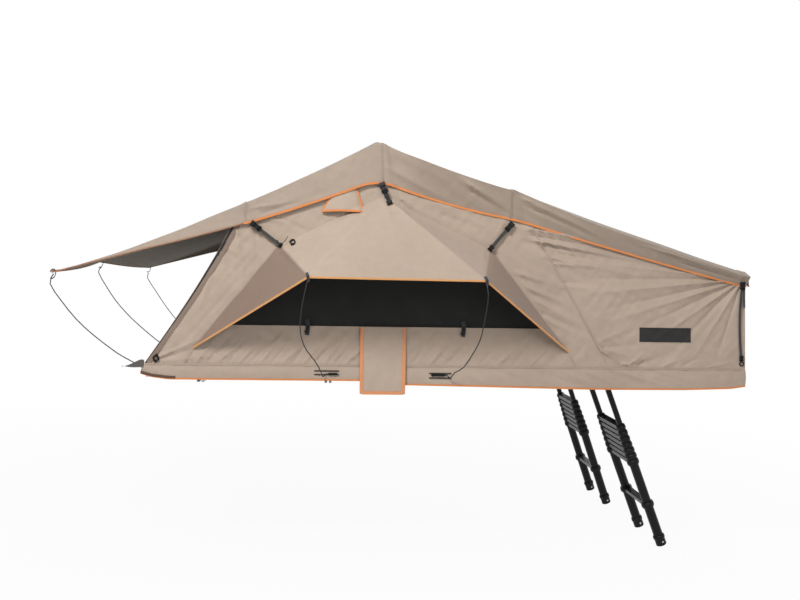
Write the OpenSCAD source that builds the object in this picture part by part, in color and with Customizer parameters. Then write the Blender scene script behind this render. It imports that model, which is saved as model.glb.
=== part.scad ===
// Soft roof top tent with a base in two hinged halves, folding bows and telescopic ladders.
// X runs from the fixed half to the fold-out half, Y along the hinge and Z up.
// The origin is the centre of the roof bar bolts, on the underside of the mounting rails.

/* [Base] */
// Length of each base half, from its end to the hinge
half_len = 1280; // [1150:10:1400]
// Width of the base along the hinge
base_w = 2193; // [1800:1:2400]
// Height of the frame bars
frame_h = 40; // [30:1:50]
// Width of the frame bars
frame_b = 30; // [20:1:40]
// Thickness of the floor panels
panel_t = 20; // [12:1:25]
// Thickness of the mattress halves
pad_h = 60; // [40:1:62]
// Room between a mattress and the inside of its frame
pad_margin = 12; // [5:1:40]

/* [Mounting rails] */
// Height of the mounting rails
rail_h = 30; // [26:1:40]
// Width of the mounting rails
rail_w = 40; // [34:1:60]
// Wall of the mounting rails
rail_wall = 4; // [3:0.5:6]
// Width of the slot under each rail
rail_slot = 10.5; // [10.5:0.5:14]
// Distance of the rails' ends from the sides of the base
rail_inset = 30; // [10:1:60]
// Distance between the two rails
rail_spacing = 700; // [500:10:900]
// Distance between the bolts along a rail
bolt_spacing = 900; // [700:10:1200]
// Diameter of the roof bar bolts
bolt_d = 8; // [6:1:8]
// Length of bolt below the rail
bolt_reach = 45; // [30:1:60]

/* [Hinge] */
// Height of the hinge axis above the floor
pivot_h = 110; // [108:1:130]
// Thickness of the hinge plates
plate_t = 5; // [4:0.5:6]
// Diameter of the hinge pins and bow bolts
pin_d = 10; // [8:0.5:12]
// Radial running clearance of the pins
pin_clear = 0.05; // [0.02:0.01:0.1]
// Distance of the outer bow pivots from the hinge axis, along X
bow_pivot_x = 30; // [26:1:40]
// Distance of the outer bow pivots from the hinge axis, along Z
bow_pivot_z = 20; // [18:1:21]

/* [Bows] */
// Diameter of the bow tubes
bow_d = 16; // [12:0.5:17]
// Wall of the bow tubes
bow_wall = 2; // [1:0.5:3]
// Bend radius of the bow corners
bow_corner_r = 60; // [40:1:90]
// Distance of the left crossbar from the hinge
left_bow_x = 749; // [650:1:850]
// Height of the left crossbar
left_bow_z = 972; // [900:1:1050]
// Distance of the ridge crossbar from the hinge
apex_bow_x = 3; // [0:1:20]
// Height of the ridge crossbar
apex_bow_z = 1311; // [1250:1:1380]
// Distance of the right crossbar from the hinge
right_bow_x = 710; // [620:1:800]
// Height of the right crossbar
right_bow_z = 1076; // [1000:1:1150]
// Distance of the overhang crossbar from the hinge
end_bow_x = 2031; // [1900:1:2150]
// Height of the overhang crossbar
end_bow_z = 641; // [560:1:700]

/* [Canvas] */
// Thickness of the canvas and the fly
cloth_t = 3; // [2:0.5:4]
// Gap between cloth and what it lies on
fit = 0.3; // [0.2:0.05:0.5]
// Height of the seam where the walls meet the skirt
seam_z = 98; // [90:1:110]
// Height of the skirt's hem
hem_z = 5; // [0:1:20]
// Height of the window sill
win_sill = 318; // [280:1:360]
// Height of the window head
win_head = 700; // [600:1:740]
// Distance of the window's left foot from the hinge
win_left = 860; // [760:1:900]
// Distance of the window's right foot from the hinge
win_right = 900; // [800:1:930]
// Distance of the window's upper corners from the hinge
win_top = 590; // [540:1:640]
// Width of the room's doorway
door_w = 1100; // [700:10:1400]
// Canvas above the doorway, along its slope
door_head = 230; // [150:1:300]
// Canvas below the doorway, along its slope
door_sill = 120; // [80:1:200]
// Width of the flaps over the hinge
flap_w = 250; // [150:1:300]
// Height of the top of the hinge flaps
flap_top = 316; // [260:1:317]
// Height of the foot of the hinge flaps
flap_foot = -52; // [-80:1:-10]

/* [Fly] */
// Depth of the fly's side at the left bow
fly_drop_left = 118; // [100:1:180]
// Depth of the fly's side at the ridge
fly_drop_apex = 212; // [150:1:240]
// Depth of the fly's side at the right bow
fly_drop_right = 160; // [120:1:200]
// Depth of the fly's side at the overhang
fly_drop_end = 45; // [30:1:80]

/* [Awning and canopies] */
// Width of the awning at its outer hem
awning_w = 2300; // [2250:1:2400]
// Reach of the awning's near corner from the hinge
awning_near = 1771; // [1650:1:1850]
// Reach of the awning's middle from the hinge
awning_mid = 1790; // [1650:1:1850]
// Reach of the awning's far corner from the hinge
awning_far = 1700; // [1600:1:1850]
// Height of the awning's corners
awning_z = 604; // [560:1:640]
// Rise of the awning's middle above its corners
awning_rise = 36; // [0:1:60]
// Reach of the window canopies from the walls
canopy_out = 350; // [250:1:450]
// Distance of the canopy's left corner from the hinge
canopy_left = 398; // [340:1:420]
// Distance of the canopy's right corner from the hinge
canopy_right = 528; // [480:1:540]
// Height of the canopy's corners
canopy_z = 590; // [540:1:620]
// Distance of the canopy's left foot from the hinge
canopy_foot_left = 1027; // [980:1:1060]
// Distance of the canopy's right foot from the hinge
canopy_foot_right = 1050; // [1000:1:1080]
// Height of the canopy's feet
canopy_foot_z = 192; // [170:1:230]
// Distance of the canopy's left shoulder from the hinge
canopy_shoulder_left = 570; // [560:1:640]
// Distance of the canopy's right shoulder from the hinge
canopy_shoulder_right = 604; // [580:1:640]
// Height of the canopy's shoulders
canopy_shoulder_z = 755; // [742:1:790]
// Height of the canopy's peak
canopy_peak_z = 1035; // [980:1:1070]
// Diameter of the spring rods
rod_d = 6; // [4:0.5:6]
// Height of the sockets of the awning rods
socket_z = 86; // [80:1:88]
// Height of the sockets of the window rods
sleeve_z = 55; // [40:1:70]
// Outer size of the awning rods' sockets
socket_size = 16; // [12:1:18]
// Length of the awning rods' sockets
socket_len = 26; // [20:1:30]
// Outer size of the window rods' sleeves
sleeve_size = 12; // [10:1:16]
// Length of the window rods' left sleeves
sleeve_left = 48; // [30:1:50]
// Length of the window rods' right sleeves
sleeve_right = 76; // [40:1:78]

/* [Ladders] */
// Distance between the ladders' middles
ladder_spacing = 1107; // [950:1:1250]
// Distance between the stiles of a ladder
stile_spacing = 435; // [380:1:480]
// Lean of the near ladder
near_lean = 20.5; // [15:0.5:25]
// Lean of the far ladder
far_lean = 19; // [15:0.5:25]
// Distance of the ladder pivots from the end of the base
ladder_out = 45; // [40:1:60]
// Height of the ladder pivots
ladder_pivot_z = 66; // [60:1:68]
// Diameter of the lowest tubes
tube_d = 56; // [52:0.5:60]
// Step in diameter from one section to the next
tube_step = 2.8; // [2.6:0.1:3]
// Wall of the tubes
tube_wall = 1.2; // [1:0.05:1.2]
// Height of the collars
collar_h = 34; // [28:1:36]
// Growth of a collar over its tube, in diameter
collar_grow = 12; // [8:1:16]
// Distance between the tops of stacked collars
collar_pitch = 36.7; // [36.5:0.1:40]
// Distance between the tops of collars that are drawn out
rung_pitch = 272; // [240:1:274]
// Length of the sliding tubes below the tops of their collars
tube_len = 292; // [280:1:296]
// Length of the lowest section, foot and collar included
foot_section = 268; // [262:1:300]
// Distance from a ladder's pivot to its highest collar
first_collar = 354; // [340:1:380]
// Depth of the rungs, front to back
rung_b = 40; // [30:1:46]
// Height of the rungs
rung_h = 26; // [20:1:30]
// Height of the rubber feet
foot_h = 46; // [30:1:60]

/* [Hidden] */
$fn = 48;

canvas_tan = [0.71, 0.63, 0.56];
fly_tan = [0.66, 0.59, 0.52];
mesh_black = [0.1, 0.1, 0.09];
alloy = [0.75, 0.76, 0.77];
steel = [0.55, 0.55, 0.56];
ladder_black = [0.12, 0.12, 0.13];
foam_grey = [0.45, 0.46, 0.48];
panel_grey = [0.6, 0.6, 0.58];
rod_grey = [0.4, 0.4, 0.4];

// The model is drawn about the hinge, which lies half a base length from the origin.
hinge_x = half_len / 2;
hinge_gap = 0.5;
seam = 0.2;
joint = 0.1;
floor_z = rail_h + frame_h;
pivot_z = floor_z + pivot_h;
bow_r = bow_d / 2;
canvas_in = base_w / 2 + fit;
canvas_out = canvas_in + cloth_t;
fly_in = canvas_out + fit;
fly_out = fly_in + cloth_t;
pin_r = pin_d / 2;
bore_r = pin_r + pin_clear;

// Bow pivots and crossbars, as points in the XZ plane.
left_pivot = [-bow_pivot_x, pivot_z - bow_pivot_z];
apex_pivot = [0, pivot_z];
right_pivot = [bow_pivot_x, pivot_z + bow_pivot_z];
overhang_reach = 25;
overhang_rise = 71;
end_pivot = [half_len + overhang_reach, floor_z + overhang_rise];
left_top = [-left_bow_x, left_bow_z];
apex_top = [-apex_bow_x, apex_bow_z];
right_top = [right_bow_x, right_bow_z];
end_top = [end_bow_x, end_bow_z];

// Outlines of the cloth over the bows, seen along Y, set off from the bows' middles.
canvas_line = [[-half_len, seam_z], left_top, apex_top, right_top, [half_len, seam_z]];
awning_root = [-awning_mid, awning_z];
end_foot = [end_bow_x, hem_z];
fly_line = [awning_root, left_top, apex_top, right_top, end_top, end_foot];
canvas_low = bow_r + fit;
canvas_high = canvas_low + cloth_t;
fly_low = canvas_high + fit;
fly_high = fly_low + cloth_t;
wall_outline = offset_line(canvas_line, bow_r);
fly_under = offset_line(fly_line, fly_low);
fly_drop = [0, fly_drop_left, fly_drop_apex, fly_drop_right, fly_drop_end];

// Spring rods, as points of X, distance outwards and height.
sleeve_out = fit + sleeve_size / 2;
left_rod = [
  [-240, sleeve_out, sleeve_z], [-290, sleeve_out, sleeve_z], [-300, sleeve_out, sleeve_z],
  [-318, 26, 42], [-330, 64, 76], [-361, 130, 138],
  [-403, 205, 200], [-428, 258, 264], [-436, 300, 342], [-424, 332, 450], [-408, 344, 530],
  [-canopy_left, canopy_out - 8, canopy_z - 16]
];
right_rod = [
  [280, sleeve_out, sleeve_z], [358, sleeve_out, sleeve_z], [368, sleeve_out, sleeve_z],
  [384, 26, 40], [404, 70, 76], [444, 140, 112],
  [486, 230, 205], [508, 286, 270], [520, 316, 340], [532, 346, 440], [536, 360, 512],
  [canopy_right, canopy_out - 6, canopy_z - 18]
];
// Shares of an awning rod's way from its socket to its tip, along the ground and up.
near_bend = [[0.06, 0.036], [0.21, 0.112], [0.32, 0.181], [0.543, 0.341], [0.742, 0.514], [0.913, 0.711],
  [1.04, 0.892], [1, 1]];
middle_bend = [[0.069, 0.037], [0.226, 0.123], [0.478, 0.306], [0.651, 0.451], [0.802, 0.604], [0.931, 0.772],
  [1.039, 0.94], [1, 1]];
far_bend = [[0.072, 0.04], [0.218, 0.128], [0.324, 0.22], [0.481, 0.344], [0.665, 0.52], [0.856, 0.728],
  [1.027, 0.924], [1, 1]];
rod_y = base_w / 2 - 18.5;
rod_start = half_len + cloth_t + 3;
tip_in = 8;
tip_y = awning_w / 2 - 10;
near_rod = awning_rod(-rod_y, [-awning_near + tip_in, -tip_y, awning_z - 20], near_bend);
middle_rod = awning_rod(0, [-awning_mid + tip_in, 0, awning_z + awning_rise - 18], middle_bend);
far_rod = awning_rod(rod_y, [-awning_far + tip_in, tip_y, awning_z - 20], far_bend);

// The route of an awning rod, which leaves its socket straight.
function awning_rod(y, tip, bend) =
  let (from = [-rod_start - socket_len - 6, y, socket_z], way = tip - from)
  concat(
    [[-rod_start, y, socket_z], [-rod_start - socket_len, y, socket_z], from],
    [for (b = bend) from + [way.x * b[0], way.y * b[0], way.z * b[1]]]
  );
function unit(v) = v / norm(v);
function upward(p, q) = let (d = unit(q - p)) [-d.y, d.x];
function offset_line(points, d) = [
  for (i = [0 : len(points) - 1])
    let (
      before = i > 0 ? upward(points[i - 1], points[i]) : upward(points[0], points[1]),
      after = i < len(points) - 1 ? upward(points[i], points[i + 1]) : before
    )
    points[i] + (before + after) * d / (1 + before * after)
];
function x_at(p, q, z) = p.x + (z - p.y) * (q.x - p.x) / (q.y - p.y);
function z_at(p, q, x) = p.y + (x - p.x) * (q.y - p.y) / (q.x - p.x);
function left_x(z) = x_at(wall_outline[0], wall_outline[1], z);
function right_x(z) = x_at(wall_outline[4], wall_outline[3], z);
function mirror_y(points) = [for (p = points) [p.x, -p.y, p.z]];
function out_of(points, side) = [for (p = points) [p.x, side * (canvas_out + p.y), p.z]];

module place() {
  translate([hinge_x, 0, 0]) children();
}

module both_sides() {
  children();
  mirror([0, 1, 0]) children();
}

// A box from one corner to the opposite one.
module span(low, high) {
  translate(low) cube(high - low);
}

// A plate whose outline lies in the XZ plane, from y0 to y1.
module xz_plate(points, y0, y1) {
  translate([0, y1, 0]) rotate([90, 0, 0]) linear_extrude(y1 - y0) polygon(points);
}

// A cylinder along Y at a point of the XZ plane.
module y_rod(point, r, y0, y1) {
  translate([point.x, y0, point.y]) rotate([-90, 0, 0]) cylinder(r = r, h = y1 - y0);
}

// A strip of sloping cloth between two bows, from s0 to s1 along it and y0 to y1 across it.
module slope_plate(p, q, low, high, s0, s1, y0, y1) {
  d = unit(q - p);
  n = upward(p, q);
  from = p + d * s0;
  to = p + d * s1;
  xz_plate([from + n * low, to + n * low, to + n * high, from + n * high], y0, y1);
}

// The strip of one run of an outline, mitred to its neighbours.
module run_plate(line, i, low, high, y0, y1) {
  under = offset_line(line, low);
  over = offset_line(line, high);
  d = unit(line[i + 1] - line[i]) * seam;
  xz_plate([under[i] + d, under[i + 1] - d, over[i + 1] - d, over[i] + d], y0, y1);
}

// A triangle of cloth, thickened to the side from which its corners run anticlockwise.
module tri_plate(a, b, c) {
  n = unit(cross(b - a, c - a)) * cloth_t;
  m = (a + b + c) / 3;
  corners = [for (p = [a, b, c]) p + unit(m - p) * 2 * seam];
  polyhedron(
    points = concat(corners, [for (p = corners) p + n]),
    faces = [[0, 1, 2], [5, 4, 3], [0, 3, 1], [1, 3, 4], [1, 4, 2], [2, 4, 5], [2, 5, 0], [0, 5, 3]]
  );
}

// A point between the second and third of four, on the smooth curve through them all.
function smooth_point(a, b, c, d, t) =
  b + (c - a) * t / 2 + (a * 2 - b * 5 + c * 4 - d) * t * t / 2 + (b * 3 - a - c * 3 + d) * t * t * t / 2;
function smooth_path(p, steps) = [
  for (i = [0 : len(p) - 2], k = [0 : steps - 1])
    smooth_point(p[max(i - 1, 0)], p[i], p[i + 1], p[min(i + 2, len(p) - 1)], k / steps),
  p[len(p) - 1]
];

// A round rod swept along a smooth route that never runs straight along the side axis.
module swept_rod(route, side_axis) {
  path = smooth_path(route, 2);
  sides = 8;
  rings = len(path);
  points = [
    for (i = [0 : rings - 1])
      let (
        d = unit(path[min(i + 1, rings - 1)] - path[max(i - 1, 0)]),
        u = unit(cross(d, side_axis)),
        v = cross(d, u)
      )
      for (k = [0 : sides - 1])
        path[i] + (u * cos(360 * k / sides) + v * sin(360 * k / sides)) * rod_d / 2
  ];
  walls = [
    for (i = [0 : rings - 2], k = [0 : sides - 1])
      let (a = i * sides + k, b = i * sides + (k + 1) % sides)
      for (f = [[a, a + sides, b], [b, a + sides, b + sides]]) f
  ];
  caps = [
    for (k = [1 : sides - 2])
      for (f = [[0, k, k + 1], [(rings - 1) * sides, (rings - 1) * sides + k + 1, (rings - 1) * sides + k]]) f
  ];
  polyhedron(points = points, faces = concat(walls, caps));
}

// One base half's frame, running from the hinge along +X.
module base_frame() {
  y = base_w / 2;
  both_sides() span([hinge_gap, y - frame_b, rail_h], [half_len, y, floor_z]);
  for (x = [hinge_gap, half_len - frame_b]) {
    span([x, -y + frame_b + joint, rail_h], [x + frame_b, y - frame_b - joint, floor_z]);
  }
  for (x = [-rail_spacing / 2, rail_spacing / 2]) {
    span([half_len / 2 + x - rail_w / 2, -y + frame_b + joint, rail_h],
      [half_len / 2 + x + rail_w / 2, y - frame_b - joint, floor_z - panel_t]);
  }
}

module floor_panel() {
  y = base_w / 2 - frame_b - fit;
  span([hinge_gap + frame_b + fit, -y, floor_z - panel_t], [half_len - frame_b - fit, y, floor_z]);
}

// A foam pad with a crowned top and drawn-in sides, on the floor.
module mattress_half() {
  x0 = hinge_gap + frame_b + pad_margin;
  x1 = half_len - frame_b - pad_margin;
  y1 = base_w / 2 - frame_b - pad_margin;
  nx = 10;
  ny = 16;
  crown = 6;
  edge = 14;
  draw_in = 5;
  function bulge(t) = 1 - pow(abs(2 * t - 1), 6);
  // Levels run up the side, as height and distance in from the widest outline.
  levels = [[0, edge], [edge * 0.4, draw_in], [pad_h / 2, 0], [pad_h - crown - edge * 0.4, draw_in]];
  function outline_point(k) =
    k < nx ? [k / nx, 0]
    : k < nx + ny ? [1, (k - nx) / ny]
    : k < 2 * nx + ny ? [1 - (k - nx - ny) / nx, 1]
    : [0, 1 - (k - 2 * nx - ny) / ny];
  ring = 2 * (nx + ny);
  function side_point(k, level) =
    let (
      t = outline_point(k),
      p = [x0 + (x1 - x0) * t.x, y1 * (2 * t.y - 1)],
      in_x = (x0 + x1) / 2 - p.x
    )
    [
      p.x + sign(in_x) * min(level[1], abs(in_x)),
      p.y - sign(p.y) * min(level[1], abs(p.y)),
      floor_z + level[0]
    ];
  sides = [for (level = levels) for (k = [0 : ring - 1]) side_point(k, level)];
  top = [
    for (j = [0 : ny], i = [0 : nx])
      let (u = i / nx, v = j / ny, rise = bulge(u) * bulge(v))
      [
        x0 + edge + (x1 - x0 - 2 * edge) * u,
        -y1 + edge + 2 * (y1 - edge) * v,
        floor_z + pad_h - crown * (1 - rise)
      ]
  ];
  base = len(sides);
  function top_of(k) =
    let (t = outline_point(k)) base + round(t.y * ny) * (nx + 1) + round(t.x * nx);
  n_levels = len(levels);
  side_faces = [
    for (l = [0 : n_levels - 2], k = [0 : ring - 1])
      let (a = l * ring + k, b = l * ring + (k + 1) % ring)
      for (f = [[a, a + ring, b], [b, a + ring, b + ring]]) f
  ];
  rim_faces = [
    for (k = [0 : ring - 1])
      let (a = (n_levels - 1) * ring + k, b = (n_levels - 1) * ring + (k + 1) % ring)
      for (f = [[a, top_of(k), b], [b, top_of(k), top_of((k + 1) % ring)]]) f
  ];
  top_faces = [
    for (j = [0 : ny - 1], i = [0 : nx - 1])
      let (a = base + j * (nx + 1) + i, b = a + 1, c = a + nx + 1, d = c + 1)
      for (f = [[a, c, b], [b, c, d]]) f
  ];
  bottom_middle = base + len(top);
  bottom_faces = [for (k = [0 : ring - 1]) [bottom_middle, k, (k + 1) % ring]];
  polyhedron(
    points = concat(sides, top, [[(x0 + x1) / 2, 0, floor_z]]),
    faces = concat(side_faces, rim_faces, top_faces, bottom_faces)
  );
}

// A plate standing on a frame bar that carries the hinge pin, with a foot along the bar.
module hinge_plate(y0, reach, holes) {
  foot_t = 5;
  foot_b = 12;
  foot_gap = 6;
  boss_r = 16;
  root = 120;
  difference() {
    union() {
      xz_plate([[-root, floor_z], [-hinge_gap, floor_z], [reach, pivot_z - boss_r], [reach, pivot_z + boss_r],
        [-bow_pivot_x - boss_r, pivot_z + boss_r]], y0, y0 + plate_t);
      for (h = holes) y_rod(h, boss_r, y0, y0 + plate_t);
      span([-root, y0 - foot_b, floor_z], [-foot_gap, y0, floor_z + foot_t]);
    }
    for (h = holes) y_rod(h, bore_r, y0 - 1, y0 + plate_t + 1);
  }
}

hinge_plate_y = base_w / 2 - 2 * plate_t - 7;
fold_plate_y = hinge_plate_y + plate_t + fit;
bow_boss_r = bow_r + 3;
bow_boss_b = bow_d + 2;
outer_bow_y = hinge_plate_y - bow_boss_b / 2 - fit;
inner_bow_y = outer_bow_y - bow_boss_b - 1;

// Each slotted rail is a top strip, two webs and two lips, with the slot between the lips.
module mounting_rails() {
  color(alloy)
    for (x = [-rail_spacing / 2, rail_spacing / 2]) {
      y = base_w / 2 - rail_inset;
      half_w = rail_w / 2;
      translate([x, 0, 0]) {
        span([-half_w, -y, rail_h - rail_wall], [half_w, y, rail_h]);
        for (side = [0, 1]) mirror([side, 0, 0]) {
          span([half_w - rail_wall, -y, rail_wall + joint], [half_w, y, rail_h - rail_wall - joint]);
          span([rail_slot / 2, -y, 0], [half_w, y, rail_wall]);
        }
      }
    }
}

module rail_bolts() {
  head_w = rail_w - 2 * rail_wall - 4;
  head_h = 8;
  color(steel)
    for (x = [-rail_spacing / 2, rail_spacing / 2], y = [-bolt_spacing / 2, bolt_spacing / 2]) {
      translate([x, y, -bolt_reach]) cylinder(d = bolt_d, h = bolt_reach + rail_wall + 1);
      span([x - head_w / 2, y - head_w / 2, rail_wall], [x + head_w / 2, y + head_w / 2, rail_wall + head_h]);
    }
}

module fixed_base_frame() {
  color(alloy) place() mirror([1, 0, 0]) base_frame();
}

module fold_base_frame() {
  color(alloy) place() base_frame();
}

module fixed_floor_panel() {
  color(panel_grey) place() mirror([1, 0, 0]) floor_panel();
}

module fold_floor_panel() {
  color(panel_grey) place() floor_panel();
}

module fixed_mattress() {
  color(foam_grey) place() mirror([1, 0, 0]) mattress_half();
}

module fold_mattress() {
  color(foam_grey) place() mattress_half();
}

module fixed_hinge_plates() {
  color(alloy) place() both_sides()
    hinge_plate(hinge_plate_y, bow_pivot_x, [left_pivot, apex_pivot, right_pivot]);
}

module fold_hinge_plates() {
  color(alloy) place() both_sides()
    mirror([1, 0, 0]) hinge_plate(fold_plate_y, 0, [apex_pivot]);
}

// Each pin carries both hinge plates and a leg of the ridge bow.
module hinge_pins() {
  head_r = pin_r + 3;
  head_t = 3;
  inner = inner_bow_y - bow_boss_b / 2;
  outer = fold_plate_y + plate_t;
  color(steel) place() both_sides() {
    y_rod(apex_pivot, pin_r, inner - fit, outer + fit);
    y_rod(apex_pivot, head_r, inner - fit - head_t, inner - fit);
    y_rod(apex_pivot, head_r, outer + fit, outer + fit + head_t);
  }
}

// Studs set in the fixed hinge plates, which carry the outer bows.
module bow_bolts() {
  head_r = pin_r + 3;
  head_t = 3;
  inner = outer_bow_y - bow_boss_b / 2;
  color(steel) place() both_sides()
    for (p = [left_pivot, right_pivot]) {
      y_rod(p, pin_r, inner - fit, hinge_plate_y + plate_t);
      y_rod(p, head_r, inner - fit - head_t, inner - fit);
    }
}

// A bow of two legs, two corners and a crossbar, turning about its pivot.
module bow(pivot, top, leg_y) {
  length = norm(top - pivot);
  angle = atan2(top.y - pivot.y, top.x - pivot.x);
  r = bow_corner_r;
  translate([pivot.x, 0, pivot.y]) rotate([0, 90 - angle, 0]) {
    both_sides() {
      difference() {
        union() {
          translate([0, leg_y, 0]) cylinder(r = bow_r, h = length - r - joint);
          y_rod([0, 0], bow_boss_r, leg_y - bow_boss_b / 2, leg_y + bow_boss_b / 2);
        }
        translate([0, leg_y, bow_boss_r + 3]) cylinder(r = bow_r - bow_wall, h = length);
        y_rod([0, 0], bore_r, leg_y - bow_boss_b, leg_y + bow_boss_b);
      }
      translate([0, leg_y - r, length - r]) rotate([0, -90, 0]) rotate_extrude(angle = 90)
        translate([r, 0]) difference() {
          circle(r = bow_r);
          circle(r = bow_r - bow_wall);
        }
    }
    translate([0, -leg_y + r + joint, length]) rotate([-90, 0, 0]) difference() {
      cylinder(r = bow_r, h = 2 * (leg_y - r - joint));
      translate([0, 0, -1]) cylinder(r = bow_r - bow_wall, h = 2 * leg_y);
    }
  }
}

module left_bow() {
  color(alloy) place() bow(left_pivot, left_top, outer_bow_y);
}

module apex_bow() {
  color(alloy) place() bow(apex_pivot, apex_top, inner_bow_y);
}

module right_bow() {
  color(alloy) place() bow(right_pivot, right_top, outer_bow_y);
}

module overhang_bow() {
  color(alloy) place() bow(end_pivot, end_top, outer_bow_y);
}

// Arms on the end of the fold-out frame, with the studs that carry the overhang bow.
module overhang_brackets() {
  arm_t = 6;
  arm_y = outer_bow_y + bow_boss_b / 2 + fit;
  boss_r = 13;
  wall_clear = 12;
  x0 = half_len + 0.1;
  color(alloy) place() both_sides() {
    difference() {
      union() {
        xz_plate([[x0, rail_h + 2], [x0 + overhang_reach, rail_h + 2], [end_pivot.x + boss_r, floor_z - 6],
          [end_pivot.x + boss_r, end_pivot.y], [half_len + wall_clear, end_pivot.y],
          [half_len + wall_clear, floor_z + 6], [x0, floor_z - 2]], arm_y, arm_y + arm_t);
        y_rod(end_pivot, boss_r, arm_y, arm_y + arm_t);
      }
      y_rod(end_pivot, bore_r, arm_y - 1, arm_y + arm_t + 1);
    }
    y_rod(end_pivot, pin_r, arm_y - bow_boss_b - 2 * fit, arm_y + arm_t);
    y_rod(end_pivot, pin_r + 3, arm_y - bow_boss_b - 2 * fit - 3, arm_y - bow_boss_b - 2 * fit);
  }
}

// Side wall panels of the fixed half, cut round the window.
module fixed_side_wall() {
  x_hinge = -hinge_gap;
  low = seam_z + fit;
  peak = wall_outline[2].x < x_hinge
    ? [[x_hinge, z_at(wall_outline[2], wall_outline[3], x_hinge)], wall_outline[2]]
    : [[x_hinge, z_at(wall_outline[1], wall_outline[2], x_hinge)]];
  xz_plate([[left_x(low), low], [x_hinge, low], [x_hinge, win_sill - seam],
    [left_x(win_sill), win_sill - seam]], canvas_in, canvas_out);
  xz_plate([[left_x(win_sill), win_sill + seam], [-win_left - seam, win_sill + seam],
    [-win_top - seam, win_head - seam], [left_x(win_head), win_head - seam]], canvas_in, canvas_out);
  head = [[left_x(win_head), win_head + seam], [x_hinge, win_head + seam]];
  xz_plate(concat(head, peak, [wall_outline[1]]), canvas_in, canvas_out);
}

module fold_side_wall() {
  x_hinge = hinge_gap;
  peak = z_at(wall_outline[2], wall_outline[3], x_hinge);
  low = seam_z + fit;
  xz_plate([[x_hinge, low], [right_x(low), low], [right_x(win_sill), win_sill - seam],
    [x_hinge, win_sill - seam]], canvas_in, canvas_out);
  xz_plate([[win_right + seam, win_sill + seam], [right_x(win_sill), win_sill + seam],
    [right_x(win_head), win_head - seam], [win_top + seam, win_head - seam]], canvas_in, canvas_out);
  xz_plate([[x_hinge, win_head + seam], [right_x(win_head), win_head + seam], wall_outline[3],
    [x_hinge, peak]], canvas_in, canvas_out);
}

// Side walls, sloping end wall and inner roof of the fixed half.
module fixed_canvas() {
  color(canvas_tan) place() {
    both_sides() fixed_side_wall();
    run_plate(canvas_line, 0, canvas_low, canvas_high, -canvas_out, canvas_out);
    run_plate(canvas_line, 1, canvas_low, canvas_high, -canvas_out, canvas_out);
  }
}

module fold_canvas() {
  color(canvas_tan) place() {
    both_sides() fold_side_wall();
    run_plate(canvas_line, 2, canvas_low, canvas_high, -canvas_out, canvas_out);
  }
}

// Sloping wall between the room and the vestibule, with its doorway.
module room_end_wall() {
  p = right_top;
  q = [half_len, seam_z];
  length = norm(q - p);
  y = canvas_in - fit;
  start = 3;
  color(canvas_tan) place() {
    slope_plate(p, q, canvas_low, canvas_high, start, door_head, -y, y);
    both_sides()
      slope_plate(p, q, canvas_low, canvas_high, door_head + seam, length - door_sill - seam, door_w / 2, y);
    slope_plate(p, q, canvas_low, canvas_high, length - door_sill, length, -y, y);
  }
}

// Skirts hang outside the frames, below the seam.
module side_skirt(x0, x1) {
  both_sides() span([x0, canvas_in, hem_z], [x1, canvas_out, seam_z]);
}

module fixed_skirt() {
  x = -half_len - fit;
  color(canvas_tan) place() {
    side_skirt(x, -hinge_gap);
    span([x - cloth_t, -canvas_out, hem_z], [x - seam, canvas_out, seam_z]);
  }
}

module fold_skirt() {
  color(canvas_tan) place() side_skirt(hinge_gap, half_len);
}

module vestibule_skirt() {
  x = end_bow_x + canvas_low;
  color(canvas_tan) place() {
    side_skirt(half_len + seam, x - seam);
    span([x, -canvas_out, hem_z], [x + cloth_t, canvas_out, seam_z]);
  }
}

module vestibule_canvas() {
  low = seam_z + fit;
  x = end_bow_x + canvas_low;
  top = offset_line(fly_line, canvas_low);
  inset = 2;
  color(canvas_tan) place() {
    both_sides()
      xz_plate([[right_x(low) + inset, low], [x - seam, low], [x - seam, z_at(top[3], top[4], x) - inset],
        wall_outline[3] + [inset, -inset]], canvas_in, canvas_out);
    span([x, -canvas_out, low], [x + cloth_t, canvas_out, end_bow_z]);
  }
}

// One run of the fly over the bows, with its hanging sides.
module fly_run(i) {
  run_plate(fly_line, i, fly_low, fly_high, -fly_out, fly_out);
  a = fly_under[i] - [0, fit];
  b = fly_under[i + 1] - [0, fit];
  both_sides()
    xz_plate([a + [seam, -fly_drop[i]], b + [-seam, -fly_drop[i + 1]], b - [seam, 0], a + [seam, 0]],
      fly_in, fly_out);
}

module fixed_fly() {
  color(fly_tan) place() fly_run(1);
}

module fold_fly() {
  color(fly_tan) place() fly_run(2);
}

module vestibule_fly() {
  color(fly_tan) place() fly_run(3);
}

module fixed_window_mesh() {
  color(mesh_black) place() both_sides()
    xz_plate([[-win_left + fit, win_sill + fit], [-hinge_gap, win_sill + fit], [-hinge_gap, win_head - fit],
      [-win_top + fit, win_head - fit]], canvas_in + cloth_t / 4, canvas_out - cloth_t / 4);
}

module fold_window_mesh() {
  color(mesh_black) place() both_sides()
    xz_plate([[hinge_gap, win_sill + fit], [win_right - fit, win_sill + fit], [win_top - fit, win_head - fit],
      [hinge_gap, win_head - fit]], canvas_in + cloth_t / 4, canvas_out - cloth_t / 4);
}

// The window canopies are five facets of cloth, divided at the hinge.
module canopy_facets(foot, shoulder, corner) {
  y = -canvas_out - fit;
  w = [foot.x, y, foot.y];
  s = [shoulder.x, y, shoulder.y];
  c = [corner.x, y - canopy_out, corner.y];
  t = [0, y, canopy_peak_z];
  m = [0, y - canopy_out, corner.y];
  if (foot.x < 0) {
    tri_plate(w, c, s);
    tri_plate(s, c, t);
    tri_plate(t, c, m);
  } else {
    tri_plate(w, s, c);
    tri_plate(s, t, c);
    tri_plate(t, m, c);
  }
}

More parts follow.
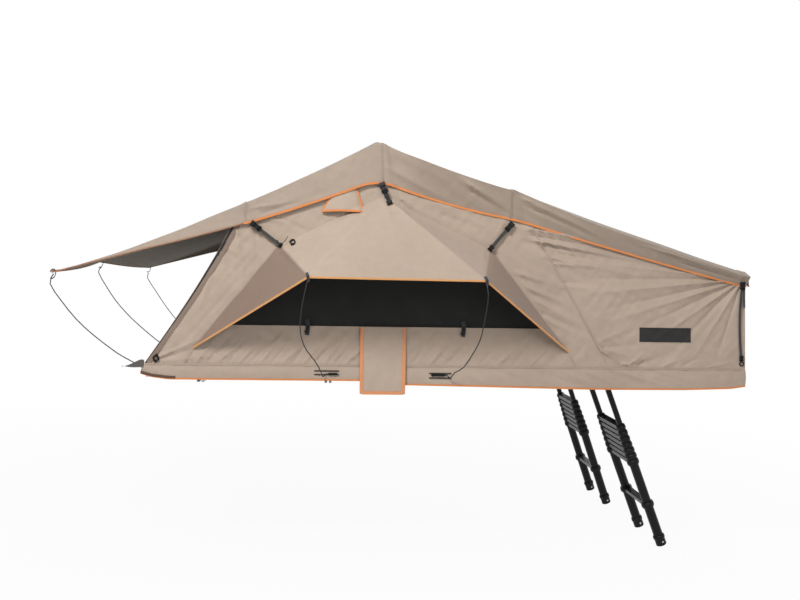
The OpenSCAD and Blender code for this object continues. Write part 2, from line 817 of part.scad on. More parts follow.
module fixed_canopies() {
  color(canvas_tan) place() both_sides()
    canopy_facets([-canopy_foot_left, canopy_foot_z], [-canopy_shoulder_left, canopy_shoulder_z],
      [-canopy_left, canopy_z]);
}

module fold_canopies() {
  color(canvas_tan) place() both_sides()
    canopy_facets([canopy_foot_right, canopy_foot_z], [canopy_shoulder_right, canopy_shoulder_z],
      [canopy_right, canopy_z]);
}

module fixed_window_rods() {
  color(rod_grey) place()
    for (side = [-1, 1]) swept_rod(out_of(left_rod, side), [0, 0.6, -0.8]);
}

module fold_window_rods() {
  color(rod_grey) place()
    for (side = [-1, 1]) swept_rod(out_of(right_rod, side), [0, 0.6, -0.8]);
}

// A block with a bore for the end of a spring rod, along X.
module socket_block(x0, x1, y, z, size) {
  difference() {
    span([x0, y - size / 2, z - size / 2], [x1, y + size / 2, z + size / 2]);
    translate([x0 - 1, y, z]) rotate([0, 90, 0]) cylinder(d = rod_d + 0.4, h = x1 - x0 + 2);
  }
}

module fixed_rod_sockets() {
  x = -half_len - cloth_t - 2 * fit;
  sleeve = left_rod[0];
  color(steel) place() {
    for (rod = [near_rod, middle_rod, far_rod]) {
      socket_block(x - socket_len, x, rod[0].y, socket_z, socket_size);
    }
    for (side = [-1, 1]) {
      y = side * (canvas_out + sleeve_out);
      socket_block(sleeve.x - sleeve_left, sleeve.x, y, sleeve_z, sleeve_size);
    }
  }
}

module fold_rod_sockets() {
  sleeve = right_rod[0];
  color(steel) place()
    for (side = [-1, 1]) {
      y = side * (canvas_out + sleeve_out);
      socket_block(sleeve.x, sleeve.x + sleeve_right, y, sleeve_z, sleeve_size);
    }
}

module hinge_flaps() {
  offset_x = 10;
  color(canvas_tan) place() both_sides()
    span([-flap_w / 2 + offset_x, fly_in, flap_foot], [flap_w / 2 + offset_x, fly_out, flap_top]);
}

// The awning carries on the fly past the left bow, to three rods.
module awning() {
  root = fly_under[1] + [-2 * seam, 0];
  drop = [root.x, root.y - fly_drop_left];
  l = [for (side = [-1, 0, 1]) [root.x, side * fly_out, root.y]];
  h = [
    [-awning_near, -awning_w / 2, awning_z - fly_high],
    [-awning_mid, 0, awning_z + awning_rise - fly_high],
    [-awning_far, awning_w / 2, awning_z - fly_high]
  ];
  hang_near = [drop.x, -fly_out, drop.y];
  hang_far = [drop.x, fly_out, drop.y];
  color(fly_tan) place() {
    tri_plate(l[0], l[1], h[0]);
    tri_plate(l[1], h[1], h[0]);
    tri_plate(l[1], l[2], h[1]);
    tri_plate(l[2], h[2], h[1]);
    tri_plate(l[0], h[0], hang_near);
    tri_plate(l[2], hang_far, h[2]);
  }
}

module near_awning_rod() {
  color(rod_grey) place() swept_rod(near_rod, [0, 1, 0]);
}

module middle_awning_rod() {
  color(rod_grey) place() swept_rod(middle_rod, [0, 1, 0]);
}

module far_awning_rod() {
  color(rod_grey) place() swept_rod(far_rod, [0, 1, 0]);
}

// Ladder pivots lie beyond the end of the fold-out half, and each ladder has nine sections.
sections = 9;
ladder_pivot = [half_len + ladder_out, ladder_pivot_z];
top_tube_d = tube_d - tube_step * (sections - 1);
ladder_boss_r = 17;
ladder_boss_b = 20;
lug_t = 6;
lug_gap = 0.3;

module ladder_brackets() {
  lug_h = 20;
  reach = ladder_out;
  color(alloy) place()
    for (ladder = [-1, 1], stile = [-1, 1]) {
      y = ladder * ladder_spacing / 2 + stile * stile_spacing / 2;
      x0 = half_len + 0.1;
      half_b = ladder_boss_b / 2 + lug_gap;
      translate([0, y, 0]) {
        difference() {
          union() {
            span([x0, -half_b - lug_t - 8, rail_h + 2], [x0 + lug_t, half_b + lug_t + 8, floor_z - 2]);
            for (side = [-half_b - lug_t, half_b]) {
              span([x0, side, rail_h + 8], [ladder_pivot.x, side + lug_t, ladder_pivot_z + lug_h / 2]);
              y_rod(ladder_pivot, ladder_boss_r - 1, side, side + lug_t);
            }
          }
          y_rod(ladder_pivot, bore_r, -half_b - lug_t - 1, half_b + lug_t + 1);
        }
        y_rod(ladder_pivot, pin_r, -half_b - lug_t, half_b + lug_t);
      }
    }
}

function section_d(i) = tube_d - tube_step * (i - 1);
// Distance from a ladder's pivot down to the top of a section's collar, as it stands.
function collar_at(i) = i == 1 ? first_collar + (sections - 3) * collar_pitch + rung_pitch
  : first_collar + (sections - 1 - i) * collar_pitch;

module tube(d, from, to) {
  translate([0, 0, -to]) difference() {
    cylinder(d = d, h = to - from);
    translate([0, 0, -1]) cylinder(d = d - 2 * tube_wall, h = to - from + 2);
  }
}

// The highest section hangs from the pivots.
module top_section() {
  grip = 20;
  // The tube is solid and flat-sided as far as it can reach between the lugs.
  flat_len = norm([ladder_out, ladder_pivot_z - rail_h]) + 3;
  for (y = [-stile_spacing / 2, stile_spacing / 2]) {
    translate([0, y, 0]) difference() {
      union() {
        translate([0, 0, -first_collar - grip]) cylinder(d = top_tube_d, h = first_collar + grip);
        y_rod([0, 0], ladder_boss_r, -ladder_boss_b / 2, ladder_boss_b / 2);
      }
      translate([0, 0, -first_collar - grip - 1])
        cylinder(d = top_tube_d - 2 * tube_wall, h = first_collar + grip + 1 - flat_len - 4);
      for (side = [-1, 1]) {
        span([-ladder_boss_r - 1, side > 0 ? ladder_boss_b / 2 : -ladder_boss_r - 1, -flat_len],
          [ladder_boss_r + 1, side > 0 ? ladder_boss_r + 1 : -ladder_boss_b / 2, ladder_boss_r + 1]);
      }
      y_rod([0, 0], bore_r, -ladder_boss_b, ladder_boss_b);
    }
  }
}

// A sliding section: two tubes, their collars and the rung between them.
module sliding_section(i) {
  d = section_d(i);
  top = collar_at(i);
  length = i == 1 ? foot_section : tube_len;
  collar_d = d + collar_grow;
  for (y = [-stile_spacing / 2, stile_spacing / 2]) {
    translate([0, y, 0]) {
      tube(d, top, top + length - (i == 1 ? 6 : 0));
      translate([0, 0, -top - collar_h]) difference() {
        cylinder(d = collar_d, h = collar_h);
        translate([0, 0, -1]) cylinder(d = d + 0.1, h = collar_h + 2);
      }
    }
  }
  difference() {
    span([-rung_b / 2, -stile_spacing / 2, -top - (collar_h + rung_h) / 2],
      [rung_b / 2, stile_spacing / 2, -top - (collar_h - rung_h) / 2]);
    for (y = [-stile_spacing / 2, stile_spacing / 2]) {
      translate([0, y, -top - collar_h - 1]) cylinder(d = collar_d + 0.1, h = collar_h + 2);
    }
  }
}

// Rubber feet close the lowest tubes.
module ladder_feet() {
  cap_t = 3;
  end = collar_at(1) + foot_section;
  for (y = [-stile_spacing / 2, stile_spacing / 2]) {
    translate([0, y, -end]) difference() {
      cylinder(d = tube_d + 2 * cap_t, h = foot_h);
      translate([0, 0, 5.9]) cylinder(d = tube_d + 0.1, h = foot_h);
    }
  }
}

module ladder_section(side, lean, i) {
  color(ladder_black) place()
    translate([ladder_pivot.x, side * ladder_spacing / 2, ladder_pivot.y]) rotate([0, -lean, 0]) {
      if (i == sections) {
        top_section();
      } else {
        sliding_section(i);
      }
      if (i == 1) ladder_feet();
    }
}

mounting_rails();
rail_bolts();
fixed_base_frame();
fixed_floor_panel();
fixed_mattress();
fixed_hinge_plates();
hinge_pins();
bow_bolts();
fixed_canvas();
fixed_skirt();
fixed_fly();
fixed_window_mesh();
fixed_canopies();
fixed_window_rods();
fixed_rod_sockets();
hinge_flaps();
fold_base_frame();
fold_floor_panel();
fold_mattress();
fold_hinge_plates();
fold_canvas();
fold_skirt();
fold_fly();
fold_window_mesh();
fold_canopies();
fold_window_rods();
fold_rod_sockets();
room_end_wall();
ladder_brackets();
overhang_brackets();
left_bow();
apex_bow();
right_bow();
overhang_bow();
vestibule_canvas();
vestibule_skirt();
vestibule_fly();
awning();
near_awning_rod();
middle_awning_rod();
far_awning_rod();
ladder_section(-1, near_lean, 1);  // near_ladder_1
ladder_section(-1, near_lean, 2);  // near_ladder_2
ladder_section(-1, near_lean, 3);  // near_ladder_3
ladder_section(-1, near_lean, 4);  // near_ladder_4
ladder_section(-1, near_lean, 5);  // near_ladder_5
ladder_section(-1, near_lean, 6);  // near_ladder_6
ladder_section(-1, near_lean, 7);  // near_ladder_7
ladder_section(-1, near_lean, 8);  // near_ladder_8
ladder_section(-1, near_lean, 9);  // near_ladder_9
ladder_section(1, far_lean, 1);  // far_ladder_1
ladder_section(1, far_lean, 2);  // far_ladder_2
ladder_section(1, far_lean, 3);  // far_ladder_3
ladder_section(1, far_lean, 4);  // far_ladder_4
ladder_section(1, far_lean, 5);  // far_ladder_5
ladder_section(1, far_lean, 6);  // far_ladder_6
ladder_section(1, far_lean, 7);  // far_ladder_7
ladder_section(1, far_lean, 8);  // far_ladder_8
ladder_section(1, far_lean, 9);  // far_ladder_9
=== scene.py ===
# %% [markdown]
# # A soft roof top tent
# The solids of the tent come from its construction drawing, in metres, and they stay where they are.
# This lesson dresses them: each flat panel of cloth is replaced by a sheet with slack, creases, binding
# and stitching, and the metal, plastic and rubber pieces get their finishes. The sizes of the solids are
# kept at the start, and the floor is laid under them.

# %% Load the solids
import math
import bpy
from mathutils import Matrix, Vector, noise


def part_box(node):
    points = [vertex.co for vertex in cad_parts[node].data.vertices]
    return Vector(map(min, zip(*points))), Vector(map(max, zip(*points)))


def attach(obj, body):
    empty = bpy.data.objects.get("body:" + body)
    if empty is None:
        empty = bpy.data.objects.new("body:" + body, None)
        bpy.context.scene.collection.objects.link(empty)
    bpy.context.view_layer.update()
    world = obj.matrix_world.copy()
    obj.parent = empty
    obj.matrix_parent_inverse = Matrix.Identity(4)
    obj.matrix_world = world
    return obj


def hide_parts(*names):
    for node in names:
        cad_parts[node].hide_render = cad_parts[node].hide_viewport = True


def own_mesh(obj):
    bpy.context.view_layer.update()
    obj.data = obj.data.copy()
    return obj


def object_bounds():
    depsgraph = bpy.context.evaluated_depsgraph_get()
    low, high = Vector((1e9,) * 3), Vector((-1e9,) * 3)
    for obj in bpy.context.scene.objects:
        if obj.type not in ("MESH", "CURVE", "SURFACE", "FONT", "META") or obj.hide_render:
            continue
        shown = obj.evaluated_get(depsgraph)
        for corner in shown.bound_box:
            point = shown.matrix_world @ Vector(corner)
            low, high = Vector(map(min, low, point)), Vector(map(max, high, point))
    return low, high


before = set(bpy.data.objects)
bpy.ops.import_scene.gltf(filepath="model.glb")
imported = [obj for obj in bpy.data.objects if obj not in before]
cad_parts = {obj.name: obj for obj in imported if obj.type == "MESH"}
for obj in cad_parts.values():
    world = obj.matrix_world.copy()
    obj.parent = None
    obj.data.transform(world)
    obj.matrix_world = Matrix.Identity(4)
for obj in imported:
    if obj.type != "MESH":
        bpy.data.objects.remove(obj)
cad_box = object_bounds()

# %% [markdown]
# ## Places on the drawing
# The drawing measures in millimetres from the hinge, which makes both halves of the tent easy to read.
# One small function turns such a place into metres in the shared frame. The slanted edges of the walls and
# the line of the fly over the bows are kept as functions, so every sheet, seam and strap follows the same lines.

# %% Drawing places
HINGE_X = 0.640
WALL_Y = 1098
FLY_Y = 1104
SEAM_Z = 98
SILL_Z = 318
HEAD_Z = 700
END_X = 2040
HEM_LINE = [(-1288, 52), (-1235, 33), (-1150, 21), (-24, 21), (24, 2),
            (1200, -16), (1700, -14), (1960, -5), (2040, 8)]
FOOT_LEFT, SHOULDER_LEFT = (-1287, 98), (-757, 978)
FOOT_RIGHT, SHOULDER_RIGHT = (1290, 98), (717, 1082)
EDGE_BOW = 24
FLY_LINE = [(-760, 991), (-46, 1338), (8, 1329), (716, 1091), (2041, 657)]
FLY_SAG = [11, 0, 22, 8]
FLY_DROP = [118, 214, 214, 162, 84]
HEM_ROUNDING = [-80, -40, 0, 40, 80]
END_OUT, END_BULGE, END_BULGE_TOP = 12, 16, 600
ROUND_START, ROUND_SHARE = 0.955, 0.045


def at(x, y, z):
    return Vector((x / 1000 + HINGE_X, y / 1000, z / 1000))


def mix(a, b, t):
    return a + (b - a) * t


def clamp(share):
    return min(max(share, 0), 1)


def mix3(a, b, t):
    return [mix(p, q, t) for p, q in zip(a, b)]


def edge_x(p, q, z):
    return mix(p[0], q[0], (z - p[1]) / (q[1] - p[1]))


def left_edge(z):
    """The slanted edge over the fixed end, which the pull of the cloth bows inwards."""
    share = clamp((z - FOOT_LEFT[1]) / (SHOULDER_LEFT[1] - FOOT_LEFT[1]))
    return edge_x(FOOT_LEFT, SHOULDER_LEFT, z) + EDGE_BOW * math.sin(math.pi * share)


def right_edge(z):
    return edge_x(FOOT_RIGHT, SHOULDER_RIGHT, z)


def fly_span(x):
    i = sum(x >= point[0] for point in FLY_LINE[1:-1])
    (x0, _), (x1, _) = FLY_LINE[i], FLY_LINE[i + 1]
    return i, clamp((x - x0) / (x1 - x0))


def fly_z(x):
    i, t = fly_span(x)
    return mix(FLY_LINE[i][1], FLY_LINE[i + 1][1], t) - FLY_SAG[i] * (4 * t * (1 - t)) ** 0.6


def fly_drop(x):
    i, t = fly_span(x)
    return mix(FLY_DROP[i], FLY_DROP[i + 1], t)


def fly_hem(x):
    """The hem's height, which is rounder over the ridge than the roof above it."""
    reach = HEM_ROUNDING[-1]
    spread = HEM_ROUNDING if FLY_LINE[0][0] + reach <= x <= END_X - reach else [0]
    return sum(fly_z(x + d) - fly_drop(x + d) for d in spread) / len(spread)


def hem_z(x):
    """The skirt's hem, which lifts round the base's two end corners."""
    for (x0, z0), (x1, z1) in zip(HEM_LINE, HEM_LINE[1:]):
        if x <= x1:
            return mix(z0, z1, max(x - x0, 0) / (x1 - x0))
    return HEM_LINE[-1][1]


def end_edge(z):
    """The overhang's end, which bulges towards its foot."""
    return END_X + END_OUT + END_BULGE * (1 - min(max(z, 0), END_BULGE_TOP) / END_BULGE_TOP)


def rounding(across):
    """How far the fly has rounded over its edge, 0 to 1."""
    return (max(0.0, min(abs(across), 1) - ROUND_START) / ROUND_SHARE) ** 2


print("fly at the ridge:", round(fly_z(-3)), "mm, at the overhang:", round(fly_z(END_X)), "mm")

# %% [markdown]
# ## Modelling helpers
# An operator works on what is selected, so each helper first clears the selection. Every sheet starts as a
# grid primitive, and its points are then laid along the drawing. The grid's UV map is stretched to the
# sheet's real size, so that a weave has the same scale on every piece.

# %% Helpers for meshes
def clear_selection():
    if bpy.context.object and bpy.context.object.mode != "OBJECT":
        bpy.ops.object.mode_set(mode="OBJECT")
    bpy.ops.object.select_all(action="DESELECT")


def take(obj):
    clear_selection()
    obj.select_set(True)
    bpy.context.view_layer.objects.active = obj


def apply_modifier(obj, kind, **settings):
    take(obj)
    m = obj.modifiers.new(kind.title(), kind)
    for key, value in settings.items():
        setattr(m, key, value)
    bpy.ops.object.modifier_apply(modifier=m.name)


def settle(obj):
    take(obj)
    bpy.ops.object.transform_apply(location=True, rotation=True, scale=True)


def smooth(obj, angle=40):
    take(obj)
    bpy.ops.object.shade_smooth_by_angle(angle=math.radians(angle))


def in_edit(obj, faces, action, **settings):
    """Select faces by a test on their middle and normal, then run an edit-mode operator on them."""
    take(obj)
    bpy.ops.object.mode_set(mode="EDIT")
    bpy.ops.mesh.select_mode(type="FACE")
    bpy.ops.mesh.select_all(action="DESELECT")
    bpy.ops.object.mode_set(mode="OBJECT")
    for f in obj.data.polygons:
        f.select = bool(faces(f))
    bpy.ops.object.mode_set(mode="EDIT")
    action(**settings)
    bpy.ops.object.mode_set(mode="OBJECT")


def primitive(name, add, **settings):
    """Add a mesh primitive by its operator and name it."""
    clear_selection()
    add(**settings)
    obj = bpy.context.object
    obj.name = obj.data.name = name
    return obj


def steps_of(n):
    return [i / n for i in range(n + 1)]


def run_length(points):
    return sum((b - a).length for a, b in zip(points, points[1:]))


CUT, CUT_STEPS = {}, steps_of(24)


def lay_grid(name, nu, nv, place, size=(1.0, 1.0), gap=None, flip=False):
    """A grid of nu by nv faces whose points go to place(u, t). gap(u, t) cuts faces out."""
    obj = primitive(name, bpy.ops.mesh.primitive_grid_add, x_subdivisions=nu, y_subdivisions=nv, size=2)
    if gap:
        in_edit(obj, lambda f: gap((f.center.x + 1) / 2, (f.center.y + 1) / 2), bpy.ops.mesh.delete, type="FACE")
    for uv in obj.data.uv_layers[0].data:
        uv.uv = (uv.uv[0] * size[0], uv.uv[1] * size[1])
    for v in obj.data.vertices:
        v.co = place(clamp((v.co.x + 1) / 2), clamp((v.co.y + 1) / 2))
    if flip:
        in_edit(obj, lambda f: True, bpy.ops.mesh.flip_normals)
    CUT[name] = (max(run_length([place(u, t) for u in CUT_STEPS]) for t in (0, 0.5, 1)),
                 max(run_length([place(u, t) for t in CUT_STEPS]) for u in (0, 0.5, 1)))
    return obj


def cloth_area(obj):
    return sum(f.area for f in obj.data.polygons)


def finish_sheet(obj, outer, inner=None, thick=1.4, length=None):
    """A stretched grid can cover slightly more than its longest row by its longest column, so the cut is eased.
    """
    area = cloth_area(obj)
    cut = (area / length, length) if length else CUT[obj.name]
    ease = max(1.0, math.sqrt(1.01 * area / (cut[0] * cut[1])))
    cut = (cut[0] * ease, cut[1] * ease)
    obj.data.materials.append(outer)
    obj.data.materials.append(inner or outer)
    apply_modifier(obj, "SOLIDIFY", thickness=thick / 1000, offset=-1, material_offset=1, material_offset_rim=0)
    smooth(obj, 50)
    return obj


print("helpers ready")

# %% [markdown]
# ## How each piece follows the folding base
# The cloth of the fixed half stays with the base, and the cloth of the fold-out half, with the wall that has the
# doorway, follows the fold-out half. The overhang's cloth follows the overhang, and the awning follows its own
# body. A strap or a binding follows the same body as its sheet. The skirt and what is sewn to it stay with the
# frame, and the overhang's skirt follows the overhang.

# %% Riding
UP = (0, 0, 1)
FOLD_PLANE, ROOM_KEEP = at(0, 0, 139), 0.012
DOOR_WALL_PLANE, DOOR_WALL_KEEP = at(0, 0, 130.5), 0.0005
HOOP = (at(1305, 0, 141), at(2031, 0, 641))
HOOP_NORMAL = (HOOP[1] - HOOP[0]).normalized().cross(Vector((0, 1, 0))) * -1
HOOP_PLANE, HOOP_KEEP = HOOP[0] - HOOP_NORMAL * 0.0085, 0.001
AWNING_ROOT, AWNING_EDGE, AWNING_KEEP = at(-749, 0, 972), at(-1771, 0, 604), 0.012


def rider(body, plane, keep):
    """A function that lets a piece follow a body, with its own copy of the mesh; the plane is not used."""
    def follow(obj, slot):
        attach(obj, body)
        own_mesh(obj)
        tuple(plane)
        return obj
    return follow


with_fixed = rider("base", FOLD_PLANE, ROOM_KEEP)
with_fold = rider("fold_half", FOLD_PLANE, ROOM_KEEP)
with_door_wall = rider("fold_half", DOOR_WALL_PLANE, DOOR_WALL_KEEP)
with_overhang = rider("overhang", HOOP_PLANE, HOOP_KEEP)
with_awning = rider("awning_body", AWNING_ROOT, AWNING_KEEP)


def with_half(obj, half, slot):
    return with_fixed(obj, slot) if half < 0 else with_fold(obj, slot)


def with_frame(obj, half):
    """Let a piece follow a half's frame as it is, without pressing it."""
    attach(obj, "base" if half < 0 else "fold_half")
    return obj


print("hoop normal:", [round(c, 3) for c in HOOP_NORMAL])

# %% [markdown]
# ## Finishes
# Canvas is a plain weave: two sets of fine bands on the UV map raise its threads, and slow noise gives the
# uneven dye and the dust of a used cloth. Numbers that are the same all over are set on the shader itself.
# Metal and plastic use Object coordinates, because they are solid and have no cut direction.

# %% Material helpers
def linear(r, g, b):
    return tuple(((c / 255 + 0.055) / 1.055) ** 2.4 if c > 10 else c / 3294.6 for c in (r, g, b)) + (1.0,)


class Nodes:
    """A material's node tree, with short calls to add and link nodes."""

    def __init__(self, name, rough, metal=0.0, sheen=0.0):
        self.material = bpy.data.materials.new(name)
        self.material.use_nodes = True
        self.tree = self.material.node_tree
        self.shader = self.tree.nodes["Principled BSDF"]
        self.shader.inputs["Roughness"].default_value = rough
        self.shader.inputs["Metallic"].default_value = metal
        self.shader.inputs["Sheen Weight"].default_value = sheen

    def add(self, kind, **settings):
        n = self.tree.nodes.new("ShaderNode" + kind)
        for key, value in settings.items():
            if key in n.inputs:
                n.inputs[key].default_value = value
            else:
                setattr(n, key, value)
        return n

    def link(self, a, b):
        self.tree.links.new(a, b)

    def place(self, output, scale=(1, 1, 1)):
        c = self.add("TexCoord")
        m = self.add("Mapping")
        m.inputs["Scale"].default_value = scale
        self.link(c.outputs[output], m.inputs["Vector"])
        return m.outputs["Vector"]

    def noise(self, vector, scale, detail=3, rough=0.55):
        n = self.add("TexNoise", Scale=scale, Detail=detail, Roughness=rough)
        self.link(vector, n.inputs["Vector"])
        return n.outputs["Fac"]

    def ramp(self, value, stops):
        n = self.add("ValToRGB")
        while len(n.color_ramp.elements) < len(stops):
            n.color_ramp.elements.new(0.5)
        for e, (p, c) in zip(n.color_ramp.elements, stops):
            e.position, e.color = p, c
        self.link(value, n.inputs["Fac"])
        return n.outputs["Color"]

    def multiply(self, a, b, share):
        n = self.add("Mix", data_type="RGBA", blend_type="MULTIPLY")
        n.inputs["Factor"].default_value = share
        self.link(a, n.inputs[6])
        self.link(b, n.inputs[7])
        return n.outputs[2]

    def bump(self, heights, strength, distance):
        last = None
        for height, s, d in zip(heights, strength, distance):
            n = self.add("Bump", Strength=s, Distance=d)
            self.link(height, n.inputs["Height"])
            if last:
                self.link(last, n.inputs["Normal"])
            last = n.outputs["Normal"]
        self.link(last, self.shader.inputs["Normal"])

    def math(self, operation, a, b=0.0):
        n = self.add("Math", operation=operation)
        for socket, value in zip(n.inputs, (a, b)):
            if isinstance(value, (int, float)):
                socket.default_value = value
            else:
                self.link(value, socket)
        return n.outputs[0]

    def colour(self, value):
        self.link(value, self.shader.inputs["Base Color"])

    def roughness(self, value, low, high):
        n = self.add("MapRange")
        n.inputs["To Min"].default_value = low
        n.inputs["To Max"].default_value = high
        self.link(value, n.inputs["Value"])
        self.link(n.outputs["Result"], self.shader.inputs["Roughness"])


def shade(c, k):
    return (c[0] * k, c[1] * k, c[2] * k, 1)


def woven(name, rgb, thread_mm=1.3, depth=0.25, spread=0.1, sheen=0.15, rough=0.82):
    """Cloth of two sets of threads, with uneven dye and dust."""
    n = Nodes(name, rough, sheen=sheen)
    c = linear(*rgb)
    uv = n.place("UV")
    world = n.place("Object")
    dye = n.ramp(n.noise(world, 2.2, 5), [(0.25, shade(c, 1 - spread)), (0.75, shade(c, 1 + spread * 0.6))])
    clean = (1, 1, 1, 1)
    dust = n.ramp(n.noise(world, 23, 6, 0.7), [(0.35, shade(clean, 1 - spread * 0.7)), (0.65, clean)])
    bands = 1000 / thread_mm / 6.2832 * 2
    waves = []
    for direction in ("X", "Y"):
        w = n.add("TexWave", wave_type="BANDS", bands_direction=direction, Scale=bands, Distortion=0.6, Detail=1)
        n.link(uv, w.inputs["Vector"])
        waves.append(w.outputs["Fac"])
    n.colour(n.multiply(dye, dust, 0.8))
    n.bump([waves[0], waves[1], n.noise(world, 60, 4)], [depth, depth, 0.12], [0.0004, 0.0004, 0.003])
    n.roughness(n.noise(world, 9, 3), rough - 0.08, min(rough + 0.08, 1))
    return n.material


def moulded(name, rgb, rough=0.5, grain=420, depth=0.2, metal=0.0, spread=0.12, stretch=(1, 1, 1), shine=0.5):
    """Metal, plastic or rubber with a fine grain."""
    n = Nodes(name, rough, metal=metal)
    n.shader.inputs["Specular IOR Level"].default_value = shine
    c = linear(*rgb)
    where = n.place("Object", stretch)
    n.colour(n.ramp(n.noise(where, 14, 5), [(0.3, shade(c, 1 - spread)), (0.7, shade(c, 1 + spread * 0.5))]))
    n.bump([n.noise(where, grain, 3)], [depth], [0.0006])
    n.roughness(n.noise(where, 35, 4), max(rough - 0.1, 0.05), rough + 0.12)
    return n.material


def stitched(name, rgb, thread_rgb, width_mm, stitch_mm=5):
    """Canvas with a row of stitches near each edge of a tape."""
    n = Nodes(name, 0.8, sheen=0.15)
    c = linear(*rgb)
    dye = n.ramp(n.noise(n.place("Object"), 9, 4), [(0.3, shade(c, 0.92)), (0.7, shade(c, 1.04))])
    split = n.add("SeparateXYZ")
    n.link(n.place("UV"), split.inputs[0])
    from_middle = n.math("ABSOLUTE", n.math("SUBTRACT", split.outputs[0], width_mm / 2000))
    row = n.math("LESS_THAN", n.math("ABSOLUTE", n.math("SUBTRACT", from_middle, width_mm * 0.00032)), 0.0007)
    dash = n.math("LESS_THAN", n.math("FRACT", n.math("DIVIDE", split.outputs[1], stitch_mm / 1000)), 0.68)
    stitch = n.math("MULTIPLY", row, dash)
    blend = n.add("Mix", data_type="RGBA")
    n.link(stitch, blend.inputs["Factor"])
    n.link(dye, blend.inputs[6])
    blend.inputs[7].default_value = linear(*thread_rgb)
    n.colour(blend.outputs[2])
    n.bump([stitch], [0.5], [0.0006])
    return n.material


print("material helpers ready")

# %% Finishes of the tent
BOUND = {"thread_mm": 0.9, "depth": 0.4, "spread": 0.08}
STRAP = {"thread_mm": 1.8, "depth": 0.6, "rough": 0.75}
CANVAS = woven("tan_canvas", (172, 154, 138))
# Painted shade: the canopies' gussets get darker copies of the canvas.
SHADED_GUSSETS = [woven("left_gusset_painted_shade", (128, 107, 93)), woven("right_gusset_painted_shade", (145, 122, 106))]
CANVAS_IN = woven("tan_canvas_inside", (140, 125, 112))
FLY = woven("fly_cloth", (158, 142, 127), thread_mm=1.0, depth=0.18, sheen=0.1, rough=0.74)
FLY_IN = woven("fly_lining", (114, 105, 91), thread_mm=1.0, depth=0.15, sheen=0.02, rough=0.8)
BINDING = woven("orange_binding", (212, 130, 70), **BOUND)
FLAP_BINDING = woven("flap_binding", (212, 141, 95), **BOUND)
# Painted shade: the awning's side binding is a darker copy of the orange binding.
SHADED_AWNING_BINDING = woven("awning_binding_painted_shade", (150, 108, 82), **BOUND)
PALE_BINDING = woven("pale_binding", (226, 164, 104), **BOUND)
MESH = woven("insect_mesh", (24, 24, 23), thread_mm=1.6, depth=0.6, sheen=0.05, rough=0.9)
WEBBING = woven("dark_webbing", (38, 39, 42), sheen=0.2, **STRAP)
GREY_WEBBING = woven("grey_webbing", (50, 49, 46), sheen=0.2, **STRAP)
BLACK_WEBBING = woven("black_webbing", (10, 10, 10), sheen=0.05, **STRAP)
ZIP_TAPE = woven("zip_tape", (22, 22, 23), thread_mm=1.2, depth=0.5)
PATCH = woven("dark_patch", (25, 23, 22), thread_mm=0.8, depth=0.3, sheen=0.06)
DARK_FLAP = woven("dark_flap", (84, 80, 76), thread_mm=1.2)
QUILT = woven("mattress_cover", (118, 120, 124), thread_mm=1.1, depth=0.3, spread=0.06)
SEAM_W = 11
SEAM = stitched("canvas_seam", (166, 148, 132), (132, 116, 102), SEAM_W)
FLY_SEAM = stitched("fly_seam", (154, 139, 124), (124, 110, 97), SEAM_W)
# Painted shadow: darker canvas for the strip beside the end wall's zip.
ZIP_SHADOW_CANVAS = woven("zip_painted_shadow", (128, 110, 97))
HEM_GUARD = woven("hem_guard", (82, 62, 48), thread_mm=1.2)
PLASTIC = moulded("black_plastic", (11, 11, 12), rough=0.4, shine=0.18)
RUBBER = moulded("foot_rubber", (11, 11, 12), rough=0.6, grain=260, depth=0.3, shine=0.2)
LADDER = moulded("black_ladder_finish", (10, 10, 11), rough=0.34, grain=700, depth=0.08, shine=0.2)
COLLAR = moulded("ladder_collar_nylon", (9, 9, 10), rough=0.4, grain=500, depth=0.15, shine=0.2)
ALLOY = moulded("frame_alloy", (190, 192, 195), rough=0.34, grain=300, depth=0.12, metal=0.9, spread=0.06,
                stretch=(1, 0.05, 1))
STEEL = moulded("zinc_steel", (168, 168, 170), rough=0.3, grain=500, depth=0.1, metal=1.0, spread=0.08)
ROD = moulded("spring_rod", (40, 38, 38), rough=0.4, grain=600, depth=0.1, shine=0.35)
PANEL = moulded("floor_board", (150, 150, 146), rough=0.6, grain=180, depth=0.25)
print("finishes:", len(bpy.data.materials))

# %% [markdown]
# ## Finishes on the solids that stay
# The frames, bows, hinges, brackets, rods and ladder tubes already have their true shapes, so they only
# need a finish in place of their plain colour.

# %% Dress the solids
KEEP = {
    ALLOY: ["mounting_rails", "fixed_base_frame", "fold_base_frame", "fixed_hinge_plates", "fold_hinge_plates",
            "ladder_brackets", "overhang_brackets", "left_bow", "apex_bow", "right_bow", "overhang_bow"],
    STEEL: ["rail_bolts", "hinge_pins", "bow_bolts"],
    PLASTIC: ["fixed_rod_sockets", "fold_rod_sockets"],
    PANEL: ["fixed_floor_panel", "fold_floor_panel"],
    ROD: ["fixed_window_rods", "fold_window_rods", "near_awning_rod", "middle_awning_rod", "far_awning_rod"],
    LADDER: [f"{side}_ladder_{i}" for side in ("near", "far") for i in range(1, 10)],
}
for finish, nodes in KEEP.items():
    for node in nodes:
        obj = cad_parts[node]
        obj.data.materials.clear()
        obj.data.materials.append(finish)
print("dressed", sum(len(n) for n in KEEP.values()), "solids")

# %% [markdown]
# ## Creases
# Cloth under tension creases along the pull, and slack cloth ripples across it. A crease is a soft ridge
# along a line that fades towards its far end. A ripple is noise that is stretched along one direction.
# Both are added up as a small distance outwards, so a seam or a patch can be laid on the same surface.
# Each line is listed as x and z of its start, x and z of its end, its width and its depth, in mm.

